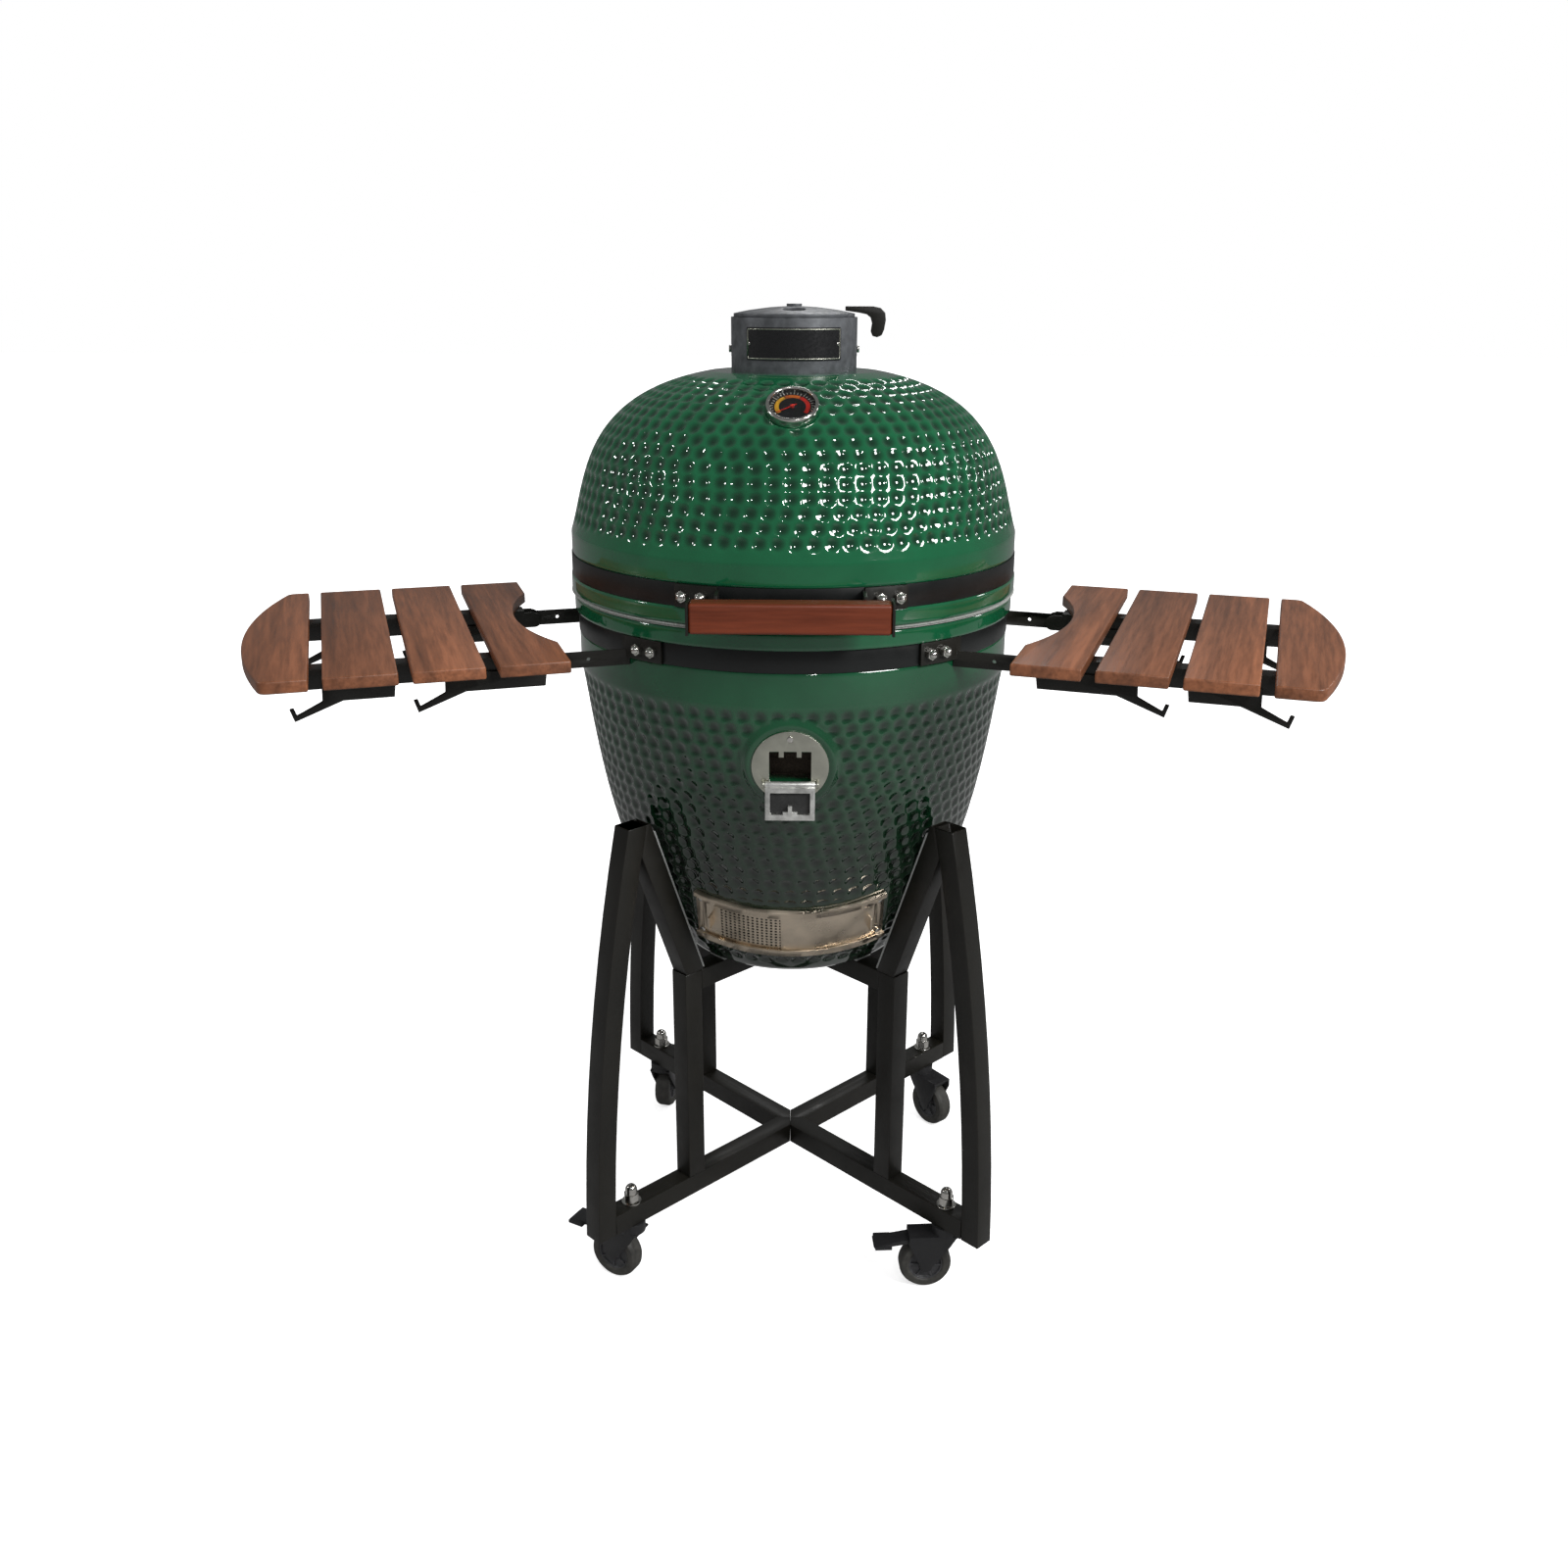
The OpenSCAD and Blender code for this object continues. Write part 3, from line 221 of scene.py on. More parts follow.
@dataclass(frozen=True)
class Glaze:
    """Deep glossy glaze with painted shade: darker in the dimples' hollows and lower down the shells."""

    name: str
    colour: Colour = (0.005, 0.105, 0.04)
    # Painted shade colour that the glaze turns towards lower down: fully below the first height, not at all above the
    # second.
    shadow_colour: Colour = (0.0045, 0.015, 0.0065)
    # Painted shade multiplied into the colour in the dimples' hollows.
    dimple_shade_colour: Colour = (0.28, 0.24, 0.26)
    shade_full_below: float = 0.6
    shade_gone_above: float = 1.13

    def make(self) -> bpy.types.Material:
        """Builds the material."""
        g = Graph(self.name)
        cloud = g.noise(7.0, 4.0)
        body = g.ramp(cloud, (0.3, shade(self.colour, 0.72)), (0.55, self.colour), (0.8, shade(self.colour, 1.3)))
        # Painted shade: lower down, the glaze colour is mixed by height towards the darker shade colour.
        low = g.ramp(cloud, (0.3, shade(self.shadow_colour, 0.7)), (0.7, shade(self.shadow_colour, 1.5)))
        drop = g.node("ShaderNodeMapRange", interpolation_type="SMOOTHSTEP")
        drop.inputs["From Min"].default_value = self.shade_full_below
        drop.inputs["From Max"].default_value = self.shade_gone_above
        g.link(g.height("Z"), drop.inputs["Value"])
        height_shaded_colour = g.mixed(drop.outputs[0], low, body)
        # Painted shade in the dimples: the colour is multiplied darker where the dimples are deepest.
        dimple_shaded = g.node("ShaderNodeMix", data_type="RGBA", blend_type="MULTIPLY")
        g.link(height_shaded_colour, dimple_shaded.inputs[6])
        dimple_shaded.inputs[7].default_value = (*self.dimple_shade_colour, 1.0)
        g.link(g.node("ShaderNodeAttribute", attribute_name="dimple_shade_share").outputs["Fac"], dimple_shaded.inputs[0])
        g.colour(dimple_shaded.outputs[2])
        g.rough(g.mapped(g.noise(60.0, 3.0), 0.06, 0.11))
        g.bump(g.noise(45.0, 2.0), 0.05, 0.0008)
        g.bump(g.noise(900.0, 2.0), 0.01, 0.0002)
        g.set(Coat_Weight=0.8, Coat_Roughness=0.035, Coat_IOR=1.55, IOR=1.5, Specular_IOR_Level=0.5)
        return g.material


@dataclass(frozen=True)
class PowderCoat:
    """Satin black powder coat with its fine orange peel."""

    name: str
    colour: Colour = (0.0062, 0.0055, 0.0035)
    gloss: float = 0.42
    peel: float = 0.12

    def make(self) -> bpy.types.Material:
        """Builds the material."""
        g = Graph(self.name)
        g.colour(g.ramp(g.noise(9.0, 5.0), (0.3, shade(self.colour, 0.75)), (0.7, shade(self.colour, 1.45))))
        g.rough(g.mapped(g.noise(22.0, 4.0), self.gloss - 0.07, self.gloss + 0.1))
        g.bump(g.noise(1300.0, 2.0), self.peel, 0.0003)
        g.bump(g.noise(60.0, 2.0), 0.05, 0.0006)
        return g.material


@dataclass(frozen=True)
class Steel:
    """Bare metal: brushed one way, with smudges."""

    name: str
    colour: Colour = (0.62, 0.6, 0.56)
    gloss: float = 0.26
    along: Along = Along.X
    brush: float = 0.18
    metal: float = 1.0

    def make(self) -> bpy.types.Material:
        """Builds the material."""
        g = Graph(self.name)
        lines = g.noise(2600.0, 2.0, 0.6, g.stretched(self.along.value))
        smudge = g.noise(30.0, 4.0)
        g.colour(g.ramp(smudge, (0.3, shade(self.colour, 0.82)), (0.7, shade(self.colour, 1.1))))
        g.rough(g.mapped(smudge, self.gloss - 0.08, self.gloss + 0.1))
        g.bump(lines, self.brush, 0.0002)
        g.set(Metallic=self.metal)
        return g.material


@dataclass(frozen=True)
class Cast:
    """Cast metal with a grainy skin, bare or painted."""

    name: str
    colour: Colour = (0.03, 0.032, 0.036)
    gloss: float = 0.5
    grain: float = 0.5
    metal: float = 0.35

    def make(self) -> bpy.types.Material:
        """Builds the material."""
        g = Graph(self.name)
        g.colour(g.ramp(g.noise(70.0, 6.0), (0.3, shade(self.colour, 0.7)), (0.7, shade(self.colour, 1.4))))
        g.rough(g.mapped(g.noise(160.0, 3.0), self.gloss - 0.1, self.gloss + 0.12))
        g.bump(g.noise(520.0, 4.0), self.grain, 0.0006)
        g.set(Metallic=self.metal)
        return g.material


@dataclass(frozen=True)
class Wood:
    """Oiled hardwood with long grain, darker streaks and open pores."""

    name: str
    colour: Colour = (0.16, 0.05, 0.022)
    turn: float = 0.0
    along: Along = Along.Y
    offset: float = 0.0
    gloss: float = 0.42

    def make(self) -> bpy.types.Material:
        """Builds the material."""
        g = Graph(self.name)
        long = self.along.value
        longer = tuple(v * 0.5 if v < 1 else v for v in long)
        figure = g.noise(34.0 + self.offset, 5.0, 0.6, g.stretched(longer, self.turn))
        streak = g.noise(150.0 + 3 * self.offset, 4.0, 0.65, g.stretched(long, self.turn))
        pores = g.noise(1500.0, 2.0, 0.5, g.stretched(long, self.turn))
        base = g.ramp(
            figure,
            (0.25, shade(self.colour, 0.55)),
            (0.45, self.colour),
            (0.6, shade(self.colour, 1.35)),
            (0.8, shade(self.colour, 0.8)),
        )
        fine = g.ramp(streak, (0.3, (0.62, 0.6, 0.58)), (0.6, (1.12, 1.12, 1.12)))
        made = g.node("ShaderNodeMix", data_type="RGBA", blend_type="MULTIPLY")
        made.inputs[0].default_value = 0.85
        g.link(base, made.inputs[6])
        g.link(fine, made.inputs[7])
        g.colour(made.outputs[2])
        g.rough(g.mapped(streak, self.gloss - 0.08, self.gloss + 0.14))
        g.bump(streak, 0.12, 0.0006)
        g.bump(pores, 0.18, 0.0003)
        g.set(Coat_Weight=0.15, Coat_Roughness=0.3)
        return g.material


@dataclass(frozen=True)
class Felt:
    """Pressed or braided heat felt."""

    name: str
    colour: Colour = (0.33, 0.34, 0.33)

    def make(self) -> bpy.types.Material:
        """Builds the material."""
        g = Graph(self.name)
        fibre = g.noise(420.0, 5.0, 0.7)
        g.colour(g.ramp(fibre, (0.3, shade(self.colour, 0.55)), (0.7, shade(self.colour, 1.35))))
        g.rough(g.mapped(fibre, 0.85, 1.0))
        g.bump(fibre, 0.7, 0.0012)
        g.set(Sheen_Weight=0.3, Sheen_Roughness=0.5)
        return g.material


@dataclass(frozen=True)
class Rubber:
    """Dark rubber or nylon with scuffs."""

    name: str
    colour: Colour = (0.026, 0.025, 0.022)
    gloss: float = 0.5

    def make(self) -> bpy.types.Material:
        """Builds the material."""
        g = Graph(self.name)
        scuff = g.noise(90.0, 6.0, 0.65)
        g.colour(g.ramp(scuff, (0.35, self.colour), (0.75, shade(self.colour, 2.4))))
        g.rough(g.mapped(scuff, self.gloss - 0.05, self.gloss + 0.2))
        g.bump(scuff, 0.15, 0.0005)
        return g.material


@dataclass(frozen=True)
class Clay:
    """Unglazed fired clay."""

    name: str
    colour: Colour = (0.13, 0.1, 0.075)

    def make(self) -> bpy.types.Material:
        """Builds the material."""
        g = Graph(self.name)
        grit = g.noise(260.0, 6.0, 0.7)
        g.colour(g.ramp(grit, (0.3, shade(self.colour, 0.6)), (0.65, self.colour), (0.8, shade(self.colour, 1.3))))
        g.rough(g.mapped(grit, 0.78, 0.95))
        g.bump(grit, 0.5, 0.0012)
        return g.material


@dataclass(frozen=True)
class Enamel:
    """Printed or painted dial colour with a slight mottle."""

    name: str
    colour: Colour
    gloss: float = 0.35

    def make(self) -> bpy.types.Material:
        """Builds the material."""
        g = Graph(self.name)
        mottle = g.noise(300.0, 3.0)
        g.colour(g.ramp(mottle, (0.3, shade(self.colour, 0.88)), (0.7, shade(self.colour, 1.08))))
        g.rough(g.mapped(mottle, self.gloss - 0.05, self.gloss + 0.08))
        return g.material


@dataclass(frozen=True)
class ClearGlass:
    """Thin clear cover glass with faint smudges."""

    name: str

    def make(self) -> bpy.types.Material:
        """Builds the material."""
        g = Graph(self.name)
        g.rough(g.mapped(g.noise(120.0, 4.0), 0.0, 0.05))
        g.set(Base_Color=(0.97, 0.99, 0.98, 1.0), Transmission_Weight=1.0, IOR=1.2)
        return g.material


class Palette:
    """Every finish, made once and handed out by name."""

    def __init__(self) -> None:
        """Builds the finishes that more than one piece shares."""
        finishes = {
            "glaze": Glaze("green_glaze"),
            "black": PowderCoat("black_powder_coat"),
            "band": PowderCoat("band_coat", colour=(0.004, 0.005, 0.005), gloss=0.34, peel=0.05),
            "caster": PowderCoat("caster_black", colour=(0.012, 0.012, 0.013), gloss=0.36),
            "felt": Felt("grey_felt"),
            "gasket": Felt("gasket_felt", colour=(0.3, 0.31, 0.29)),
            "zinc": Steel("bright_zinc", colour=(0.72, 0.7, 0.66), gloss=0.16, brush=0.04),
            "spring": Steel("spring_wire", colour=(0.5, 0.5, 0.48), gloss=0.22, brush=0.04),
            "plate": Steel("brushed_plate", colour=(0.57, 0.57, 0.49), gloss=0.36),
            "vent": Steel("brushed_round", colour=(0.74, 0.63, 0.5), gloss=0.3, along=Along.ROUND, brush=0.05),
            "flap": Cast("cast_flap", colour=(0.72, 0.72, 0.69), gloss=0.42, grain=0.25, metal=0.9),
            "port_shadow_sheet": Cast("flap_painted_shadow", colour=(0.02, 0.02, 0.02), gloss=0.6, metal=0.1),
            # Painted shadow: the near-black finish of the sheet in the flap's tray.
            "cap": Cast("cast_cap", colour=(0.095, 0.1, 0.108), gloss=0.44, grain=0.25),
            "iron": Cast("cast_iron", colour=(0.02, 0.02, 0.02), gloss=0.62, grain=0.7, metal=0.2),
            "rubber": Rubber("wheel_rubber"),
            "hub": Rubber("wheel_hub", colour=(0.028, 0.028, 0.03), gloss=0.38),
            "clay": Clay("fire_clay"),
            "face": Enamel("dial_black", (0.006, 0.006, 0.007)),
            "white": Enamel("dial_white", (0.75, 0.75, 0.72)),
            "yellow": Enamel("dial_yellow", (0.75, 0.38, 0.02)),
            "orange": Enamel("dial_orange", (0.7, 0.13, 0.01)),
            "red": Enamel("dial_red", (0.6, 0.015, 0.01)),
            "badge": Enamel("badge_black", (0.008, 0.008, 0.009), gloss=0.28),
            "glass": ClearGlass("cover_glass"),
            "grip": Wood("grip_wood", colour=(0.135, 0.022, 0.004), along=Along.X, gloss=0.36),
        }
        self.made = {key: finish.make() for key, finish in finishes.items()}

    def __getitem__(self, key: str) -> bpy.types.Material:
        """The material of that name."""
        return self.made[key]


# ---------- mesh helpers ----------


def new_piece(
    name: str,
    mesh: bpy.types.Mesh,
    body: str,
    material: bpy.types.Material,
    nodes: Iterable[str] = (),
) -> bpy.types.Object:
    """Puts a mesh into the scene as a piece of the grill.

    Args:
        name: The piece's name.
        mesh: Its mesh, in the row frame.
        body: The CAD body it moves with.
        material: Its finish.
        nodes: CAD nodes that it replaces.

    Returns:
        The new object.
    """
    made = bpy.data.objects.new(name, mesh)
    bpy.context.scene.collection.objects.link(made)
    mesh.materials.clear()
    mesh.materials.append(material)
    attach(made, body)
    if nodes:
        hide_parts(*nodes)
    log.info("piece %s on %s, %d faces", name, body, len(mesh.polygons))
    return made


def mesh_from(
    name: str, points: Sequence[Sequence[float]], faces: Sequence[Sequence[int]], smooth: bool = True
) -> bpy.types.Mesh:
    """A mesh from points and faces, with its normals turned outwards."""
    mesh = bpy.data.meshes.new(name)
    mesh.from_pydata([tuple(map(float, p)) for p in points], [], faces)
    b = bmesh.new()
    b.from_mesh(mesh)
    bmesh.ops.recalc_face_normals(b, faces=b.faces[:])
    b.to_mesh(mesh)
    b.free()
    for polygon in mesh.polygons:
        polygon.use_smooth = smooth
    return mesh


def sharp_edges(mesh: bpy.types.Mesh, degrees: float = 35.0) -> bpy.types.Mesh:
    """Smooth shading with edges above an angle kept sharp."""
    for polygon in mesh.polygons:
        polygon.use_smooth = True
    mesh.set_sharp_from_angle(angle=math.radians(degrees))
    return mesh


def lathe(name: str, outline: Sequence[Point], steps: int = 64, closed: bool = True) -> bpy.types.Mesh:
    """A ring or a solid turned about Z.

    Args:
        name: Mesh name.
        outline: Points as (radius, height).
        steps: Sides round the axis.
        closed: Whether the last point joins the first.

    Returns:
        The mesh, with its axis on Z.
    """
    points, faces, count = [], [], len(outline)
    for i in range(steps):
        a = TURN * i / steps
        points += [(r * math.cos(a), r * math.sin(a), z) for r, z in outline]
    last = count if closed else count - 1
    for i in range(steps):
        for j in range(last):
            k = (j + 1) % count
            n = (i + 1) % steps
            faces.append((i * count + j, n * count + j, n * count + k, i * count + k))
    mesh = mesh_from(name, points, faces)
    if min(r for r, _ in outline) < 1e-6:
        b = bmesh.new()
        b.from_mesh(mesh)
        bmesh.ops.remove_doubles(b, verts=b.verts[:], dist=1e-7)
        b.to_mesh(mesh)
        b.free()
    return mesh


def rounded(corners: Sequence[tuple[float, float, float]], steps: int = 4) -> list[Point]:
    """A closed outline whose corners are rounded.

    Args:
        corners: Points as (x, y, radius of the corner).
        steps: Segments in each round corner.

    Returns:
        The outline's points.
    """
    made: list[Point] = []
    count = len(corners)
    for i, (x, y, radius) in enumerate(corners):
        here = Vector((x, y))
        if radius <= 0:
            made.append((x, y))
            continue
        back = (Vector(corners[i - 1][:2]) - here).normalized()
        on = (Vector(corners[(i + 1) % count][:2]) - here).normalized()
        half = math.acos(max(-1.0, min(1.0, back.dot(on)))) / 2
        reach = radius / math.tan(half)
        start, end = here + back * reach, here + on * reach
        for k in range(steps + 1):
            t = k / steps
            p = start * (1 - t) ** 2 + here * 2 * t * (1 - t) + end * t * t
            made.append((p.x, p.y))
    return made


def transformed(mesh: bpy.types.Mesh, matrix: Matrix) -> bpy.types.Mesh:
    """The same mesh, moved."""
    mesh.transform(matrix)
    return mesh


def tube_mesh(name: str, path: Sequence[Vector], radius: float, sides: int = 10) -> bpy.types.Mesh:
    """A round wire along a path, with closed ends."""
    points, faces = [], []
    side = Vector((0, 0, 1))
    for i, at in enumerate(path):
        ahead = (path[min(i + 1, len(path) - 1)] - path[max(i - 1, 0)]).normalized()
        side = (side - ahead * side.dot(ahead)).normalized()
        up = ahead.cross(side)
        for k in range(sides):
            a = TURN * k / sides
            points.append(at + (side * math.cos(a) + up * math.sin(a)) * radius)
    for i in range(len(path) - 1):
        for k in range(sides):
            n = (k + 1) % sides
            faces.append((i * sides + k, i * sides + n, (i + 1) * sides + n, (i + 1) * sides + k))
    faces.append(tuple(range(sides)))
    faces.append(tuple((len(path) - 1) * sides + k for k in range(sides)))
    return mesh_from(name, points, faces)


def joined(name: str, meshes: Sequence[bpy.types.Mesh]) -> bpy.types.Mesh:
    """Several meshes as one."""
    b = bmesh.new()
    for mesh in meshes:
        b.from_mesh(mesh)
    made = bpy.data.meshes.new(name)
    b.to_mesh(made)
    b.free()
    return made


def islands(node: str) -> list[bpy.types.Mesh]:
    """The separate solids of a CAD node as meshes, welded and with flat areas joined, ordered by place."""
    b = bmesh.new()
    b.from_mesh(frame["nodes"][node].data)
    bmesh.ops.remove_doubles(b, verts=b.verts[:], dist=2e-6)
    b.verts.ensure_lookup_table()
    seen: set[int] = set()
    groups: list[list[int]] = []
    for start in b.verts:
        if start.index in seen:
            continue
        group, queue = [], [start]
        seen.add(start.index)
        while queue:
            v = queue.pop()
            group.append(v.index)
            for e in v.link_edges:
                o = e.other_vert(v)
                if o.index not in seen:
                    seen.add(o.index)
                    queue.append(o)
        groups.append(group)
    found = []
    for n, group in enumerate(groups):
        part = b.copy()
        part.verts.ensure_lookup_table()
        keep = set(group)
        bmesh.ops.delete(part, geom=[v for v in part.verts if v.index not in keep], context="VERTS")
        bmesh.ops.dissolve_limit(part, angle_limit=math.radians(0.6), verts=part.verts[:], edges=part.edges[:])
        mesh = bpy.data.meshes.new(f"{node}_{n}")
        part.to_mesh(mesh)
        part.free()
        found.append(mesh)
    b.free()
    return sorted(found, key=lambda m: (round(sum(v.co.x for v in m.vertices) / len(m.vertices), 4)))


def softened(mesh: bpy.types.Mesh, width: float, segments: int = 2, above: float = 40.0) -> bpy.types.Mesh:
    """A copy of a mesh with its hard edges rounded.

    Args:
        mesh: The sharp mesh.
        width: Width of the rounding in metres.
        segments: Segments across the rounding.
        above: Edges sharper than this angle in degrees are rounded.

    Returns:
        The new mesh.
    """
    holder = bpy.data.objects.new("soften", mesh)
    bpy.context.scene.collection.objects.link(holder)
    bevel = holder.modifiers.new("bevel", "BEVEL")
    bevel.width = width
    bevel.segments = segments
    bevel.limit_method = "ANGLE"
    bevel.angle_limit = math.radians(above)
    bevel.use_clamp_overlap = True
    bevel.harden_normals = False
    bpy.context.view_layer.update()
    made = bpy.data.meshes.new_from_object(holder.evaluated_get(bpy.context.evaluated_depsgraph_get()))
    bpy.data.objects.remove(holder)
    return sharp_edges(made)


def soft_copy(
    node: str, body: str, material: bpy.types.Material, width: float, segments: int = 2
) -> bpy.types.Object:
    """A piece that shows a CAD node with its edges rounded, and replaces it."""
    mesh = joined(f"{node}_soft", [softened(m, width, segments) for m in islands(node)])
    return new_piece(f"{node}_shown", sharp_edges(mesh), body, material, [node])


def dress(node: str, material: bpy.types.Material) -> None:
    """Gives a carried-over CAD node its finish."""
    mesh = frame["nodes"][node].data
    mesh.materials.clear()
    mesh.materials.append(material)
    log.info("dressed %s", node)


def cubic(guide: Sequence[Point], steps: int) -> list[Point]:
    """Points along a cubic curve with four guide points."""
    made = []
    for i in range(steps + 1):
        t = i / steps
        w = ((1 - t) ** 3, 3 * (1 - t) ** 2 * t, 3 * (1 - t) * t * t, t**3)
        made.append((sum(a * p[0] for a, p in zip(w, guide)), sum(a * p[1] for a, p in zip(w, guide))))
    return made


def spaced(points: Sequence[Point], step: float) -> list[Point]:
    """The same line with points at even distances."""
    line = np.array(points)
    run = np.concatenate([[0], np.cumsum(np.hypot(*np.diff(line, axis=0).T))])
    count = max(1, round(run[-1] / step))
    at = np.linspace(0, run[-1], count + 1)
    return list(zip(np.interp(at, run, line[:, 0]), np.interp(at, run, line[:, 1])))


def smoothstep(value: np.ndarray, low: float, high: float) -> np.ndarray:
    """0 below low, 1 above high, smooth between."""
    t = np.clip((value - low) / (high - low), 0, 1)
    return t * t * (3 - 2 * t)


# ---------- the ceramic body ----------


@dataclass
class Ceramic:
    """A dimpled ceramic shell, turned about the body axis.

    The outside is sampled finely and carries the dimples; the rims and the inside are plain.
    """

    name: str
    node: str
    outside: list[Point]
    rest: list[Point]
    dimple_from: float
    dimple_to: float
    pitch: float = 21.6 * MM
    row_step: float = 17.4 * MM
    depth: float = 3.1 * MM
    radius: float = 10.2 * MM
    sides: int = 720
    step: float = 2.3 * MM
    quiet: list[Callable[[np.ndarray], np.ndarray]] = field(default_factory=list)
    shapers: list[Callable[[np.ndarray], np.ndarray]] = field(default_factory=list)
    windows: list[tuple[float, float, float, float]] = field(default_factory=list)

    def build(self) -> bpy.types.Mesh:
        """Builds the closed shell.

        Returns:
            The mesh in the row frame.
        """
        outer = spaced(self.outside, self.step)
        line = np.array(outer + self.rest)
        n_out, count = len(outer), len(line)
        theta = np.arange(self.sides) * TURN / self.sides
        r = np.repeat(line[None, :, 0], self.sides, 0)
        z = np.repeat(line[None, :, 1], self.sides, 0)
        angle = np.repeat(theta[:, None], count, 1)
        run = np.concatenate([[0], np.cumsum(np.hypot(*np.diff(line[:n_out], axis=0).T))])
        tangent = np.gradient(line[:n_out], run, axis=0)
        normal = np.stack([tangent[:, 1], -tangent[:, 0]], 1)
        normal /= np.linalg.norm(normal, axis=1)[:, None]
        if normal[n_out // 2, 0] < 0:
            normal = -normal
        points = np.stack([r * np.cos(angle), r * np.sin(angle), z], -1)
        dip = self.dimples(theta, line[:n_out], run)
        for calm in self.quiet:
            dip = dip * calm(points[:, :n_out])
        points[:, :n_out, 0] -= dip * normal[None, :, 0] * np.cos(angle[:, :n_out])
        points[:, :n_out, 1] -= dip * normal[None, :, 0] * np.sin(angle[:, :n_out])
        points[:, :n_out, 2] -= dip * normal[None, :, 1]
        for shaper in self.shapers:
            points[:, :n_out] = shaper(points[:, :n_out])
        gone_out, gone_in = self.find_windows(line, n_out)
        faces = self.faces(count, gone_out, gone_in)
        points[..., 1] += AXIS_Y
        mesh = mesh_from(self.name, points.reshape(-1, 3), faces)
        # Share of each point's dimple depth, which paints shade into the glaze in the hollows.
        dimple_shade_share = np.zeros(points.shape[:2], np.float32)
        dimple_shade_share[:, :n_out] = dip / self.depth
        mesh.attributes.new("dimple_shade_share", "FLOAT", "POINT").data.foreach_set("value", dimple_shade_share.ravel())
        if np.any(line[:, 0] < 1e-6):
            b = bmesh.new()
            b.from_mesh(mesh)
            pole = [v for v in b.verts if math.hypot(v.co.x, v.co.y - AXIS_Y) < 1e-6]
            bmesh.ops.remove_doubles(b, verts=pole, dist=1e-6)
            b.to_mesh(mesh)
            b.free()
        return mesh

    def dimples(self, theta: np.ndarray, line: np.ndarray, run: np.ndarray) -> np.ndarray:
        """Depth of the dimples at every point of the outside."""
        z = line[:, 1]
        inside = (z > min(self.dimple_from, self.dimple_to)) & (z < max(self.dimple_from, self.dimple_to))
        start, end = run[inside].min(), run[inside].max()
        rows = int((end - start) / self.row_step)
        row_run = start + self.row_step * (np.arange(rows) + 0.5)
        row_r = np.interp(row_run, run, line[:, 0])
        row_n = np.maximum(6, np.round(TURN * row_r / self.pitch)).astype(int)
        near = np.full((len(theta), len(line)), 1.0)
        index = np.floor((run - row_run[0]) / self.row_step + 0.5).astype(int)
        for shift in (-1, 0, 1):
            k = index + shift
            valid = (k >= 0) & (k < rows) & inside
            k = np.clip(k, 0, rows - 1)
            turns = theta[:, None] * row_n[k][None] / TURN + (k % 2)[None] * 0.5
            across = (turns - np.round(turns)) * TURN / row_n[k][None] * line[:, 0][None]
            gap = np.hypot(across, (run - row_run[k])[None])
            near = np.where(valid[None], np.minimum(near, gap), near)
        share = np.clip(1 - (near / self.radius) ** 2, 0, 1)
        return self.depth * share**1.35

    def find_windows(self, line: np.ndarray, n_out: int) -> tuple[list, list]:
        """Grid ranges that each window takes out of the outside and of the inside."""
        gone_out, gone_in = [], []
        for a0, a1, z0, z1 in self.windows:
            low, high = round(a0 / TURN * self.sides), round(a1 / TURN * self.sides)
            out = np.where((line[:n_out, 1] > z0) & (line[:n_out, 1] < z1))[0]
            into = n_out + np.where((line[n_out:, 1] > z0) & (line[n_out:, 1] < z1))[0]
            gone_out.append((low, high, out.min(), out.max()))
            gone_in.append((low, high, into.min(), into.max()))
        return gone_out, gone_in

    def faces(self, count: int, gone_out: list, gone_in: list) -> list[tuple[int, ...]]:
        """Faces of the closed grid, with the windows' reveals."""
        def at(i: int, j: int) -> int:
            return (i % self.sides) * count + j % count

        missing = set()
        made: list[tuple[int, ...]] = []
        for (a0, a1, o0, o1), (_, _, n0, n1) in zip(gone_out, gone_in):
            for i in range(a0, a1):
                missing |= {(i % self.sides, j) for j in [*range(o0, o1), *range(n0, n1)]}
                made.append((at(i, o0), at(i + 1, o0), at(i + 1, n1), at(i, n1)))
                made.append((at(i, o1), at(i + 1, o1), at(i + 1, n0), at(i, n0)))
            for i in (a0, a1):
                made.append(tuple(at(i, j) for j in [*range(o0, o1 + 1), *range(n0, n1 + 1)]))
        for i in range(self.sides):
            made += [
                (at(i, j), at(i + 1, j), at(i + 1, j + 1), at(i, j + 1))
                for j in range(count)
                if (i, j) not in missing
            ]
        return made


